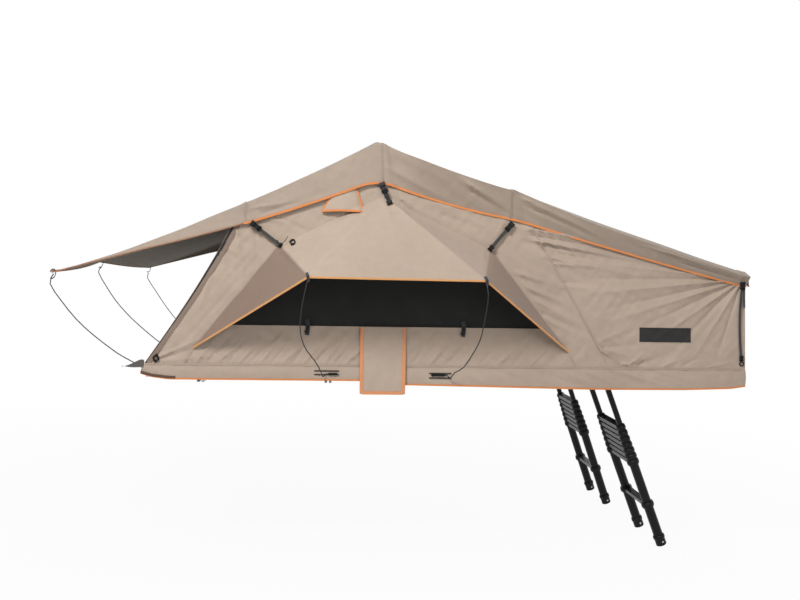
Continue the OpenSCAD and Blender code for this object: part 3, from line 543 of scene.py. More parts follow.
# %% Crease functions
def crease(x, z, px, pz, qx, qz, width, depth):
    """The height at x, z of a ridge from p to q, which is as deep as depth at p and widens towards q."""
    dx, dz = qx - px, qz - pz
    length2 = dx * dx + dz * dz
    t = ((x - px) * dx + (z - pz) * dz) / length2
    if t < -0.1 or t > 1.1:
        return 0.0
    off = abs((x - px) * dz - (z - pz) * dx) / math.sqrt(length2)
    spread = width * (0.35 + 0.9 * max(t, 0))
    fade = min(1.0, max(0.0, (t + 0.1) * 6)) * max(0.0, 1.1 - t) ** 0.7
    return depth * math.exp(-((off / spread) ** 1.15)) * fade


def creases(x, z, lines):
    return sum(crease(x, z, *line) for line in lines)


def ripple(x, z, angle, along, across, seed):
    """Noise from -1 to 1 that is stretched along an angle."""
    c, s = math.cos(math.radians(angle)), math.sin(math.radians(angle))
    return noise.noise((((x * c + z * s) / along), ((z * c - x * s) / across), seed))


def wrinkle(x, z, seed):
    """Fine random creases that cross at two angles, in mm."""
    return 2.6 * ripple(x, z, -26, 330, 36, seed) + 1.8 * ripple(x, z, 50, 210, 28, seed + 2)


CREASE_GAIN, FLY_GAIN = 1.35, 1.7
END_CORNER = (2036, 612)
END_FAN = [(*END_CORNER, *line) for line in (
    (1150, 690, 13, 9), (1080, 600, 17, -10), (1180, 520, 14, 11), (1240, 430, 17, -10), (1330, 380, 13, 11),
    (1400, 300, 17, -10), (1500, 235, 13, 10), (1610, 170, 16, -9), (1750, 140, 14, 8), (1890, 130, 13, -7))]
WALL_LINES = [
    (840, 790, 1780, 640, 44, -15), (800, 872, 1620, 752, 12, 9), (830, 838, 1560, 722, 16, -9),
    (850, 806, 1500, 690, 14, 8), (862, 770, 1420, 655, 18, -7), (900, 720, 1500, 610, 16, 6),
    (1010, 560, 1380, 520, 26, 5), (1240, 205, 1440, 165, 18, 7), (1240, 215, 1500, 240, 20, -6),
    (1225, 250, 1420, 340, 18, 6), (1360, 120, 1560, 180, 22, 6), (1450, 118, 1680, 210, 20, -5),
    (1600, 112, 1760, 190, 18, 5), (737, 629, 1000, 557, 12, 7), (769, 596, 930, 556, 11, -6),
    (802, 548, 1040, 461, 12, 8), (830, 515, 1040, 420, 11, -7), (847, 478, 1100, 352, 12, 8),
    (892, 408, 1100, 316, 12, -7), (905, 380, 1080, 285, 11, 6), (884, 803, 1216, 742, 13, 8),
    (924, 745, 1217, 707, 13, -8), (945, 679, 1218, 668, 14, 8), (999, 578, 1220, 574, 16, -6),
    (-1225, 133, -930, 265, 12, 8), (-1215, 122, -980, 200, 10, -6), (-1210, 118, -860, 150, 10, 5),
    (-800, 860, -745, 480, 20, 7), (-850, 760, -810, 440, 20, -6), (-700, 830, -660, 560, 16, -6),
    (-930, 600, -1010, 360, 18, 5), (-640, 905, -420, 865, 13, 7), (-560, 905, -330, 800, 12, -6),
    (-60, 1065, -420, 820, 13, 6), (60, 1045, 330, 900, 13, 8), (80, 1020, 300, 840, 12, -8),
    (1239, 206, 1340, 112, 10, 10), (1344, 128, 1526, 102, 9, 9), (1442, 110, 1512, 163, 9, -9),
    (1400, 125, 1480, 190, 9, 8), (1581, 111, 1664, 150, 10, 8), (1700, 113, 1790, 165, 10, -8),
    (1846, 113, 1972, 134, 10, 7), (240, 1000, 560, 960, 13, 6), (300, 950, 560, 860, 12, -6),
    (680, 930, 620, 800, 12, 6),
]
LOW_LINES = [(x, 108, x + 130 + 25 * (k % 3), 285 + 15 * (k % 2), 9, (9, -7, 8, -8)[k % 4])
             for k, x in enumerate([*range(-1010, -190, 58), *range(170, 900, 95)])]
FAN_START, LOW_END = 900, 1150


def wall_lift(x, z, side):
    """How far a side wall's cloth stands out at x, z, in mm."""
    seed = 3.7 if side < 0 else 11.2
    up = 4 * noise.noise((x / 420, z / 330, seed)) + 1.6 * noise.noise((x / 120, z / 110, seed + 5))
    up += wrinkle(x, z, seed + 8) + creases(x, z, WALL_LINES)
    if x > FAN_START:
        up += creases(x, z, END_FAN)
    if SEAM_Z < z < SILL_Z and x < LOW_END:
        low = math.sin(math.pi * (z - SEAM_Z) / (SILL_Z - SEAM_Z))
        up += 5 * low * ripple(x, z, 52, 420, 46, seed + 9) + creases(x, z, LOW_LINES)
    return CREASE_GAIN * up * min(1.0, 0.15 + max(0.0, z - SEAM_Z) / 45)


def wall_point(x, z, side, lift=0):
    return at(x, side * (WALL_Y + wall_lift(x, z, side) + lift), z)


print("crease at the overhang:", round(wall_lift(1600, 500, -1), 2), "mm")

# %% [markdown]
# ## Side walls
# Each side of a base half is one sheet with a window cut out of it. The columns of its grid follow the
# slanted edge and the window's edge, so the cut runs along whole faces and needs no repair.

# %% Side walls of the room
EDGE_COLUMNS, WINDOW_COLUMNS = 38, 94
LOW_ROWS, WINDOW_ROWS, HIGH_ROWS = 30, 32, 36
WALL_COLUMNS, WALL_ROWS = EDGE_COLUMNS + WINDOW_COLUMNS, LOW_ROWS + WINDOW_ROWS + HIGH_ROWS
SIDES = {"near": -1, "far": 1}
HALVES = {"fixed": -1, "fold": 1}
WINDOW_FOOT, WINDOW_HEAD = {-1: -860, 1: 900}, {-1: -590, 1: 590}


def window_edge(half, z):
    return mix(WINDOW_FOOT[half], WINDOW_HEAD[half], clamp((z - SILL_Z) / (HEAD_Z - SILL_Z)))


def outer_edge(half, z):
    return left_edge(z) if half < 0 else right_edge(z)


def wall_grid_place(half, u, t):
    """The place of a grid point: X runs from the slanted edge to the hinge, Z from the foot seam to the fly."""
    column, row = u * WALL_COLUMNS, t * WALL_ROWS
    if row <= LOW_ROWS:
        z = mix(SEAM_Z, SILL_Z, row / LOW_ROWS)
    elif row <= LOW_ROWS + WINDOW_ROWS:
        z = mix(SILL_Z, HEAD_Z, (row - LOW_ROWS) / WINDOW_ROWS)
    else:
        z = HEAD_Z
    outer, window = outer_edge(half, z), window_edge(half, z)
    if column <= EDGE_COLUMNS:
        x = mix(outer, window, column / EDGE_COLUMNS)
    else:
        x = mix(window, 0, (column - EDGE_COLUMNS) / WINDOW_COLUMNS)
    if row > LOW_ROWS + WINDOW_ROWS:
        high = (row - LOW_ROWS - WINDOW_ROWS) / HIGH_ROWS
        shoulder = SHOULDER_LEFT[0] if half < 0 else SHOULDER_RIGHT[0]
        top_x = x * shoulder / outer_edge(half, HEAD_Z)
        x, z = mix(x, top_x, high), mix(z, fly_z(top_x) - 12, high)
    return x, z


def in_window(u, t):
    return u * WALL_COLUMNS > EDGE_COLUMNS and LOW_ROWS < t * WALL_ROWS < LOW_ROWS + WINDOW_ROWS


for half_name, half in HALVES.items():
    for side_name, side in SIDES.items():
        wall = lay_grid(f"{half_name}_{side_name}_wall", WALL_COLUMNS, WALL_ROWS,
                        lambda u, t: wall_point(*wall_grid_place(half, u, t), side), (1.28, 1.2),
                        in_window, half * side < 0)
        finish_sheet(wall, CANVAS, CANVAS_IN)
        with_half(wall, half, "canvas")
        if side < 0:
            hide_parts(f"{half_name}_canvas")
        print(wall.name, len(wall.data.polygons), "faces")

# %% [markdown]
# ## Insect mesh
# The mesh hangs slack behind the window's edge, so it gets soft vertical folds and no hard crease.

# %% Window mesh
MESH_BEHIND = 9
for half_name, half in HALVES.items():
    for side_name, side in SIDES.items():
        def mesh_place(u, t):
            z = mix(SILL_Z - 6, HEAD_Z + 6, t)
            x = mix(window_edge(half, z) + 8 * half, 0, u)
            slack = 5 * noise.noise((x / 150, z / 500, 4.0 + side)) + 3 * noise.noise((x / 60, z / 400, 8.0))
            return at(x, side * (WALL_Y - MESH_BEHIND + slack), z)
        mesh = lay_grid(f"{half_name}_{side_name}_mesh", 50, 20, mesh_place, (0.9, 0.4), None, half * side < 0)
        finish_sheet(mesh, MESH, thick=0.8)
        with_half(mesh, half, "mesh")
    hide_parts(f"{half_name}_window_mesh")
print("mesh sheets: 4")

# %% [markdown]
# ## End walls, doorway and inner roof
# The sloping wall over the fixed end is a sheet with a zip along each edge. The wall between the room and
# the overhang has a doorway, which is cut out of its grid. The inner roof hangs just under the fly.

# %% Sloping sheets
def slope_place(p, q, seed, out, edge_bow=0):
    """Places on a slope from p to q of X and Z, with slack in its middle and a bow along its two edges."""
    dx, dz = q[0] - p[0], q[1] - p[1]
    length = math.hypot(dx, dz)
    nx, nz = -dz / length, dx / length

    def place(u, t):
        x, y, z = mix(p[0], q[0], t), mix(-WALL_Y, WALL_Y, u), mix(p[1], q[1], t)
        bow = math.sin(math.pi * t) * math.sin(math.pi * u)
        lift = out + 7 * bow * noise.noise((y / 330, t * 3, seed)) + 3 * bow * noise.noise((y / 90, t * 7, seed))
        lift += edge_bow * math.sin(math.pi * t) * abs(2 * u - 1) ** 4
        return at(x + nx * lift, y, z + nz * lift)
    return place


SLOPE_IN = -4
end_wall = lay_grid("fixed_end_wall", 60, 34, slope_place(SHOULDER_LEFT, FOOT_LEFT, 2.0, SLOPE_IN, 0.86 * EDGE_BOW),
                    (2.2, 1.03), None, True)
finish_sheet(end_wall, CANVAS, CANVAS_IN)
with_fixed(end_wall, "canvas")


DOOR_HALF_WIDTH = 550


def in_doorway(u, t):
    return abs(u - 0.5) * 2 * WALL_Y < DOOR_HALF_WIDTH and 0.2 < t < 0.9


room_wall = lay_grid("room_end_wall_sheet", 60, 40, slope_place(SHOULDER_RIGHT, FOOT_RIGHT, 5.0, SLOPE_IN),
                     (2.2, 1.13), in_doorway, True)
finish_sheet(room_wall, CANVAS, CANVAS_IN)
with_door_wall(room_wall, "canvas")
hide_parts("room_end_wall")


def roof_place(x0, x1):
    def place(u, t):
        x, y = mix(x0, x1, t), mix(WALL_Y - 6, -WALL_Y + 6, u)
        return at(x, y, fly_z(x) - 17 - 8 * math.sin(math.pi * t) * math.sin(math.pi * u))
    return place


for name, x0, x1, half in (("fixed_inner_roof", -757, 0, -1), ("fold_inner_roof", 0, 717, 1)):
    roof = lay_grid(name, 40, 24, roof_place(x0, x1), (2.2, 0.8))
    finish_sheet(roof, CANVAS, CANVAS_IN, thick=1.0)
    with_half(roof, half, "canvas")
print("end walls and inner roof laid")

# %% [markdown]
# ## Overhang
# The overhang's side walls are pulled tight from the outer corner of the hoop, so their creases spread
# like a fan from it. The end wall hangs straight from the crossbar.

# %% Overhang walls
UNDER_BOW, UNDER_HOOP = 34, 38


def overhang_place(side):
    def place(u, t):
        zl, zr = mix(SEAM_Z, SHOULDER_RIGHT[1] - UNDER_BOW, t), mix(SEAM_Z, fly_z(END_X) - UNDER_HOOP, t)
        x, z = mix(right_edge(zl) - 7, end_edge(zr), u), mix(zl, zr, u)
        return wall_point(x, z, side, -1.5 if u == 0 else 0)
    return place


for side_name, side in SIDES.items():
    wall = lay_grid(f"overhang_{side_name}_wall", 216, 104, overhang_place(side), (1.3, 0.9), None, side > 0)
    finish_sheet(wall, CANVAS, CANVAS_IN)
    with_overhang(wall, "canvas")
    if side < 0:
        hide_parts("vestibule_canvas")


def overhang_end_place(u, t):
    y, z = mix(-WALL_Y, WALL_Y, u), mix(SEAM_Z - 10, fly_z(END_X) - 9 - 30 * rounding(2 * u - 1), t)
    bow = math.sin(math.pi * u) ** 0.5 * min(1.0, 5 * t)
    slack = 4 * noise.noise((y / 300, z / 260, 6.0)) + 3 * ripple(y, z, 80, 500, 60, 2.0)
    return at(end_edge(z) + bow * slack, y, z)


end = lay_grid("overhang_end_wall", 80, 36, overhang_end_place, (2.2, 0.56))
finish_sheet(end, CANVAS, CANVAS_IN)
with_overhang(end, "canvas")
print("overhang walls laid")

# %% [markdown]
# ## Skirt
# The skirt hangs over the base's frame. It bulges a little over the bars and its hem waves. It stays with
# the frame as the base folds, so it isn't pressed flat.

# %% Skirt sheets
SKIRT_LINES = [
    (1138, 86, 1347, -5, 12, 8), (891, 70, 1140, -6, 14, -8), (1000, 84, 1230, 0, 12, 7),
    (1359, 76, 1611, -2, 12, 8), (1270, 84, 1480, 4, 11, -7), (1520, 80, 1760, 4, 12, -6),
    (430, 82, 600, 6, 14, 6), (640, 84, 850, 2, 14, -6),
]


BASE_END, CORNER_START, CORNER_OUT = 1290, -1130, 22


def skirt_point(x, t, side, lift=0):
    z = mix(hem_z(x), SEAM_Z, t)
    out = 3.5 * math.sin(math.pi * t) + 5 * (1 - t) * noise.noise((x / 170, side, 7.7))
    out = max(out + 2 * noise.noise((x / 60, z / 50, side)) + creases(x, z, SKIRT_LINES), -1.0)
    if x > BASE_END:
        x += (end_edge(z) - END_X) * (x - BASE_END) / (END_X - BASE_END)
        out += 3 * noise.noise((x / 45, z / 60, side + 3))
    x -= CORNER_OUT * (1 - t) * max(0, (CORNER_START - x) / 156)
    return at(x, side * (WALL_Y + 1 + out + lift), z)


SKIRTS = [("fixed_skirt", -1286, 0, 60), ("fold_skirt", 0, BASE_END, 110), ("vestibule_skirt", BASE_END, END_X, 64)]


def with_skirt(obj, node):
    """Let a piece follow one of the three skirts."""
    if node == "vestibule_skirt":
        return with_overhang(obj, "canvas")
    return with_frame(obj, -1 if node == "fixed_skirt" else 1)


for node, x0, x1, n in SKIRTS:
    for side_name, side in SIDES.items():
        skirt = lay_grid(f"{node}_{side_name}", n, 14, lambda u, t: skirt_point(mix(x0, x1, u), t, side),
                         (1.3, 0.1), None, side > 0)
        with_skirt(finish_sheet(skirt, CANVAS, CANVAS_IN), node)
        if side < 0:
            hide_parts(node)


def end_skirt_place(x, sign):
    def place(u, t):
        y, z = mix(-WALL_Y - 1, WALL_Y + 1, u), mix(hem_z(x), SEAM_Z, t)
        out = 3 * math.sin(math.pi * t) + 4 * (1 - t) * noise.noise((y / 170, sign, 3.3))
        out += end_edge(z) - END_X if sign > 0 else CORNER_OUT * (1 - t)
        return at(x + sign * out, y, z)
    return place


left_skirt = lay_grid("fixed_end_skirt", 70, 10, end_skirt_place(-1288, -1), (2.2, 0.1), None, True)
finish_sheet(left_skirt, CANVAS, CANVAS_IN)
with_frame(left_skirt, -1)
right_skirt = lay_grid("overhang_end_skirt", 70, 10, end_skirt_place(END_X + 1, 1), (2.2, 0.1))
finish_sheet(right_skirt, CANVAS, CANVAS_IN)
with_overhang(right_skirt, "canvas")
print("skirts laid")

# %% [markdown]
# ## Fly
# The fly lies over the bows and hangs down at both sides. Each run is one grid: across, it goes from one
# hem over the roof to the other hem, and along, it goes from bow to bow. It sags between the bows, and
# each bow's corner pushes a crease into the hanging side.

# %% Runs of the fly
DROP_COLUMNS, TOP_COLUMNS = 16, 70
FLY_COLUMNS = 2 * DROP_COLUMNS + TOP_COLUMNS
BOW_X = [-757, -3, 714, 2034]


def fly_share(u):
    """The place across the fly: -1 to 1 over the roof, and how far down a hanging side, 0 to 1."""
    column = u * FLY_COLUMNS
    if column < DROP_COLUMNS:
        return -1.0, 1 - column / DROP_COLUMNS
    if column > DROP_COLUMNS + TOP_COLUMNS:
        return 1.0, (column - DROP_COLUMNS - TOP_COLUMNS) / DROP_COLUMNS
    return (column - DROP_COLUMNS) / TOP_COLUMNS * 2 - 1, 0.0


FALL_START, FALL_LENGTH, BOW_FALL, HOOP_FALL = 760, 380, 9, 22


def edge_fall(across, x):
    """How far the edge falls, in mm: the overhang's hoop has rounder corners than the bows."""
    return (BOW_FALL + HOOP_FALL * clamp((x - FALL_START) / FALL_LENGTH)) * rounding(across)


FLY_LINES = [
    (25, 1196, 417, 985, 24, 7), (446, 1125, 700, 972, 20, 9), (470, 1080, 690, 955, 16, -7),
    (768, 1042, 1214, 856, 20, 8), (790, 1000, 1180, 850, 16, -6), (1500, 800, 2010, 650, 15, 7),
    (1700, 705, 2030, 612, 13, -7), (-700, 965, -420, 1010, 16, 6), (-660, 930, -300, 1060, 16, -5),
]


LEAN_TOP, BOW_SHIFT, FOLD_SHIFT = 54, 38, 46


def bow_pushes(x, width):
    """The sum of narrow bumps beside the first three bows."""
    return sum(math.exp(-(((x - bow) / width) ** 2)) for bow in BOW_X[:3])


def hang_out(x, down, side):
    """How far a hanging side stands out, in mm.

    It flares before the ridge and leans in after it, waves, and is pushed out by the bows' corners.
    """
    lean = clamp((x + 60) / 260)
    middle = 16 * math.exp(-(((x - 380) / 260) ** 4))
    out = mix(12 * down, (LEAN_TOP + middle) * (1 - down) - 2 * down, lean)
    out += 5 * down * noise.noise((x / 210, side * 5, 2.2)) + 3 * down * ripple(x, down * 150, 24, 260, 38, side)
    if x > BOW_X[0]:
        z = mix(fly_z(x), fly_hem(x), down)
        out += FLY_GAIN * creases(x, z, FLY_LINES) + wrinkle(x, z, side + 6)
    along_bow = x - BOW_SHIFT * down
    out += 11 * bow_pushes(along_bow, 17) * (1 - 0.6 * down)
    return out - 5 * bow_pushes(along_bow - FOLD_SHIFT, 20) * (1 - 0.4 * down)


def fly_point(x, across, down, lift=0):
    side = math.copysign(1, across)
    top = fly_z(x) - edge_fall(across, x)
    if down > 0:
        return at(x, side * (FLY_Y + hang_out(x, down, side) + lift), mix(top, fly_hem(x), down))
    flat = 1 - rounding(across)
    z = top + 2.5 * noise.noise((x / 240, across * 3, 1.5)) * flat
    return at(x, across * (FLY_Y + lift) + side * hang_out(x, 0, side) * (1 - flat), z + lift * 0.7)


FLY_END, END_DROP = 2058, 52
FLY_RUNS = [("fixed_fly", -760, -3, with_fixed), ("fold_fly", -3, 716, with_fold),
            ("vestibule_fly", 716, FLY_END, with_overhang)]


def run_place(x0, x1):
    def place(u, t):
        across, down = fly_share(u)
        return fly_point(mix(x0, x1, t), -across, down)
    return place


for node, x0, x1, ride in FLY_RUNS:
    run = lay_grid(f"{node}_sheet", FLY_COLUMNS, 60, run_place(x0, x1), (2.6, 1.0))
    finish_sheet(run, FLY, FLY_IN)
    ride(run, "fly")
    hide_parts(node)


def end_drop_point(u, t, lift=0):
    """The fly's short drop over the overhang's end."""
    y = mix(-FLY_Y - 20, FLY_Y + 20, u)
    out = 5 * math.sin(math.pi * t / 2) + 3 * t * noise.noise((y / 150, 4.4, 1.0))
    return at(FLY_END + out + lift, y, fly_z(FLY_END) - edge_fall(y / FLY_Y, FLY_END) - END_DROP * t)


end_drop = lay_grid("overhang_fly_drop", 90, 8, lambda u, t: end_drop_point(u, 1 - t), (2.25, END_DROP / 1000))
finish_sheet(end_drop, FLY, FLY_IN)
with_overhang(end_drop, "fly")
print("fly runs laid")

# %% [markdown]
# ## Awning
# The awning carries the fly on past the left bow. Three rods hold its outer hem up, so the hem runs from
# rod to rod, and its hanging sides shrink to nothing at the corners. Its lining is grey.

# %% Awning sheet
AWNING_HEM = [(-1771, -1150, 596), (-1792, 0, 660), (-1702, 1150, 630)]


def awning_hem(across):
    a, b, c = AWNING_HEM
    p, q, k = (a, b, across + 1) if across < 0 else (b, c, across)
    x, y, z = mix3(p, q, k)
    slack = math.sin(math.pi * k)
    return x + 16 * slack, y, z - 9 * slack


def awning_point(across, down, t, lift=0):
    """A place on the awning: across it, how far down a hanging side, and t from 0 at the bow to 1 at the hem."""
    hx, _, hz = awning_hem(across)
    x, z = mix(-760, hx, t), mix(FLY_LINE[0][1], hz, t)
    y = mix(FLY_Y, abs(AWNING_HEM[0][1]), t) * across
    edge = abs(across) ** 6
    bump = math.exp(-(((t - 0.15) / 0.14) ** 2)) - math.exp(-((0.15 / 0.14) ** 2)) * max(0, 1 - t / 0.3)
    slack = math.sin(math.pi * t)
    z += 8 * edge * bump - 10 * (1 - edge) * slack
    z += 3 * noise.noise((x / 260, across * 4, 9.1)) * slack
    z -= BOW_FALL * rounding(across) * (1 - t) + 27 * edge * max(0.0, slack) ** 0.6
    side = math.copysign(1, across)
    if down > 0:
        hem = mix(FLY_LINE[0][1] - FLY_DROP[0], hz - 5, t) - 4 * max(0.0, math.sin(math.pi * min(t / 0.5, 1))) ** 0.8
        z = mix(z, hem, down)
        y += side * hang_out(x, down, side) * (1 - t)
        return at(x, y + side * lift, z)
    return at(x, y + side * hang_out(x, 0, side) * (1 - t) * rounding(across), z + lift)


awning = lay_grid("awning_sheet", FLY_COLUMNS, 60, lambda u, t: awning_point(*fly_share(u), t), (2.6, 1.1))
finish_sheet(awning, FLY, FLY_IN)
with_awning(awning, "fly")
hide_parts("awning")
print("awning area:", round(cloth_area(awning) / 2, 2), "square metres")

# %% [markdown]
# ## Window canopies
# A canopy is five facets of cloth between the wall and its two outer corners. It starts as those facets,
# is subdivided, and is then relaxed a few times with its border held, which rounds the ridges as cloth
# does. It is divided at the hinge, because each half follows its own side of the base.

# %% Canopies
CANOPY = {
    "foot_left": (-1027, 2, 192), "shoulder_left": (-570, 2, 757), "peak": (0, 2, 1038),
    "shoulder_right": (604, 2, 752), "foot_right": (1050, 2, 190),
    "corner_left": (-398, 350, 588), "middle": (0, 350, 585), "corner_right": (528, 350, 582),
}
CANOPY_LENGTH = (Vector(CANOPY["peak"]) - Vector(CANOPY["middle"])).length / 1000
CANOPY_FACETS = [
    ("foot_left", "corner_left", "shoulder_left"), ("shoulder_left", "corner_left", "peak"),
    ("peak", "corner_left", "middle"), ("peak", "middle", "corner_right"),
    ("peak", "corner_right", "shoulder_right"), ("shoulder_right", "corner_right", "foot_right"),
]
GUSSET_FACETS = (CANOPY_FACETS[0], CANOPY_FACETS[5])
CANOPY_CREASES = [
    (-590, 745, -425, 600, 20, -17), (-560, 785, -405, 610, 16, 12), (-620, 720, -520, 560, 20, 5),
    (-30, 1010, -390, 630, 16, 7), (-560, 768, -105, 945, 15, 8), (-550, 745, -140, 890, 22, -4),
    (0, 1020, 120, 640, 40, 3), (600, 760, 535, 600, 18, -6), (560, 790, 525, 610, 16, 5),
    (25, 1012, 515, 605, 26, 11), (150, 945, 570, 745, 20, -6), (640, 730, 820, 400, 20, -5),
    (610, 720, 740, 430, 18, 5), (-640, 700, -800, 420, 24, 4),
]


def hold_out(place, side):
    """The place at X, a distance out from the side wall, and Z."""
    x, out, z = place
    return at(x, side * (WALL_Y + out), z)


def facet_weights(facet, x, z):
    """The shares of a facet's three corners at a point of X and Z."""
    a, b, c = (CANOPY[k] for k in facet)
    d = (b[2] - c[2]) * (a[0] - c[0]) + (c[0] - b[0]) * (a[2] - c[2])
    u = ((b[2] - c[2]) * (x - c[0]) + (c[0] - b[0]) * (z - c[2])) / d
    v = ((c[2] - a[2]) * (x - c[0]) + (a[0] - c[0]) * (z - c[2])) / d
    return u, v, 1 - u - v


def in_facet(facet, x, z):
    return min(facet_weights(facet, x, z)) > -0.01


def relax(obj, rounds, held):
    """Draw each free point towards the middle of its neighbours."""
    near = [[] for _ in obj.data.vertices]
    for e in obj.data.edges:
        a, b = e.vertices
        near[a].append(b)
        near[b].append(a)
    for _ in range(rounds):
        old = [v.co.copy() for v in obj.data.vertices]
        for v in obj.data.vertices:
            if v.index not in held:
                around = near[v.index]
                v.co = (old[v.index] + sum((old[k] for k in around), Vector()) / len(around)) / 2


def border_points(obj):
    """The points of the edges that only one face has."""
    count = {}
    for f in obj.data.polygons:
        for key in f.edge_keys:
            count[key] = count.get(key, 0) + 1
    return {i for key, n in count.items() if n == 1 for i in key}


def facet_mesh(name, side):
    names = list(CANOPY)
    obj = primitive(name, bpy.ops.mesh.primitive_plane_add, size=1)
    obj.data.clear_geometry()
    faces = [[names.index(k) for k in facet][::-side] for facet in CANOPY_FACETS]
    obj.data.from_pydata([hold_out(CANOPY[k], side) for k in names], [], faces)
    obj.data.uv_layers.new(name="UVMap")
    return obj


def drawn(place):
    """X and Z on the drawing, in mm, of a place in metres."""
    return (place.x - HINGE_X) * 1000, place.z * 1000


for side_name, side in SIDES.items():
    canopy = facet_mesh(f"{side_name}_canopy", side)
    for cuts in (3, 3, 2):
        in_edit(canopy, lambda f: True, bpy.ops.mesh.subdivide, number_cuts=cuts)
    edge = border_points(canopy)
    relax(canopy, 4, edge)
    for v in canopy.data.vertices:
        x, z = drawn(v.co)
        out = abs(v.co.y) * 1000 - WALL_Y
        free = clamp(out / 60) if v.index not in edge else 0.0
        pull = creases(x, z, CANOPY_CREASES) + 3 * noise.noise((x / 160, z / 140, side + 4))
        v.co.y += side * pull * free / 1000
        v.co.z += pull * free * 0.6 / 1000
    for corner, loop in zip(canopy.data.loops, canopy.data.uv_layers[0].data):
        co = canopy.data.vertices[corner.vertex_index].co
        loop.uv = (co.x, co.z * 1.2 + abs(co.y) * 0.7)
    in_edit(canopy, lambda f: f.center.x > HINGE_X, bpy.ops.mesh.separate, type="SELECTED")
    halves = {o.name: o for o in bpy.context.selected_objects}
    other = next(o for n, o in halves.items() if n != canopy.name)
    canopy.name, other.name = f"fixed_{side_name}_canopy", f"fold_{side_name}_canopy"
    for obj, half in ((canopy, -1), (other, 1)):
        finish_sheet(obj, CANVAS, CANVAS_IN, length=CANOPY_LENGTH)
        # The gusset facets take the darker copy of the canvas, which is painted shade.
        obj.data.materials.append(SHADED_GUSSETS[half > 0])
        for f in obj.data.polygons:
            if f.material_index == 0 and any(in_facet(facet, *drawn(f.center)) for facet in GUSSET_FACETS):
                f.material_index = 2
        with_half(obj, half, "canvas")
        if side < 0:
            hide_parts("fixed_canopies" if half < 0 else "fold_canopies")
print("canopies relaxed")

# %% [markdown]
# ## Flaps over the hinge
# A strip of canvas hangs over the gap where the two halves meet, so water stays out. It is bound on three
# sides and curls a little at its foot.

# %% Hinge flaps
FLAP_X, FLAP_Z = (-115, 135), (-52, 316)


def flap_point(x, z, side, lift=0):
    t = (z - FLAP_Z[0]) / (FLAP_Z[1] - FLAP_Z[0])
    out = 7 + 8 * (1 - t) ** 2 + 2.5 * ripple(x, z, 60, 260, 42, 3.0 + side)
    out += 2 * noise.noise((x / 70, z / 120, 5.0))
    return at(x, side * (FLY_Y + out + lift), z)


for side_name, side in SIDES.items():
    flap = lay_grid(f"{side_name}_hinge_flap", 26, 38,
                    lambda u, t: flap_point(mix(*FLAP_X, u), mix(*FLAP_Z, t), side), (0.25, 0.37), None, side > 0)
    finish_sheet(flap, CANVAS, CANVAS_IN)
    with_fixed(flap, "canvas")
    if side < 0:
        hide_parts("hinge_flaps")
print("hinge flaps hung")

# %% [markdown]
# ## Mattress halves
# Each half of the base carries a foam pad. It starts as a cube that is subdivided, its top is crowned and
# its sides pull in between the corners. Sewn channels divide the cover.

# %% Mattress pads
FACE = 0.999
SIDE_PULL, CROWN, CHANNEL, EDGE_ROUND = 0.006, 0.008, 0.006, 0.01


def mattress(name, half):
    low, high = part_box(f"{name}_mattress")
    obj = primitive(f"{name}_mattress_pad", bpy.ops.mesh.primitive_cube_add, size=1)
    for cuts in (7, 5):
        in_edit(obj, lambda f: True, bpy.ops.mesh.subdivide, number_cuts=cuts)
    for v in obj.data.vertices:
        a, b, c = v.co.x * 2, v.co.y * 2, v.co.z * 2
        pull = SIDE_PULL * (1 - a * a) if abs(b) > FACE else SIDE_PULL * (1 - b * b) if abs(a) > FACE else 0
        round_in = max(0, max(abs(a), abs(b)) - 0.97) / 0.03
        channel = min(abs((b * 4) % 1 - 0.5), 0.06) / 0.06 if c > FACE else 1
        crown = (1 - abs(a) ** 8) * (1 - abs(b) ** 8)
        x = mix(low[0], high[0], (a + 1) / 2) - math.copysign(pull if abs(a) > FACE else 0, a)
        y = mix(low[1], high[1], (b + 1) / 2) - math.copysign(pull if abs(b) > FACE else 0, b)
        z = mix(low[2], high[2], (c + 1) / 2)
        if c > 0:
            z -= c * (CROWN * (1 - crown) + CHANNEL * (1 - channel) + EDGE_ROUND * round_in)
        v.co = (x, y, z)
    obj.data.materials.append(QUILT)
    smooth(obj, 60)
    with_frame(obj, half)
    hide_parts(f"{name}_mattress")
    print(obj.name, [round(h - l, 3) for l, h in zip(low, high)])


for half_name, half in HALVES.items():
    mattress(half_name, half)

# %% [markdown]
# ## Tapes
# Binding, seams, zips and straps are all narrow strips along a route. A tape is a grid two faces wide that
# is laid along the route, square to the cloth's outward direction, and then given its thickness.

# %% Tape helper
def along(points):
    """A function from 0 to 1 along a route of points."""
    lengths = [0.0]
    for a, b in zip(points, points[1:]):
        lengths.append(lengths[-1] + (b - a).length)

    def where(t):
        s = t * lengths[-1]
        i = next((k for k in range(len(points) - 1) if lengths[k + 1] >= s), len(points) - 2)
        step = lengths[i + 1] - lengths[i]
        return points[i].lerp(points[i + 1], (s - lengths[i]) / step if step else 0)
    where.length = lengths[-1]
    return where


BIND = 2.6


def tape(name, points, outward, width, finish, thick=1.6, lift=0.8, steps=None):
    """A strip of the given width in mm along points, facing outward, which may depend on the share along it."""
    route = along(points)
    n = steps or max(2, int(route.length / 0.02))
    face = outward if callable(outward) else (lambda t: Vector(outward))

    def place(u, t):
        here = route(t)
        ahead = (route(min(t + 0.5 / n, 1)) - route(max(t - 0.5 / n, 0))).normalized()
        across = ahead.cross(face(t)).normalized()
        up = across.cross(ahead).normalized()
        return here + across * (0.5 - u) * width / 1000 + up * lift / 1000
    obj = lay_grid(name, 2, n, place, (width / 1000, route.length))
    obj.data.materials.append(finish)
    apply_modifier(obj, "SOLIDIFY", thickness=thick / 1000, offset=0)
    smooth(obj, 50)
    return obj


def out_dir(side):
    return (0, side, 0)


print("tape helper ready")

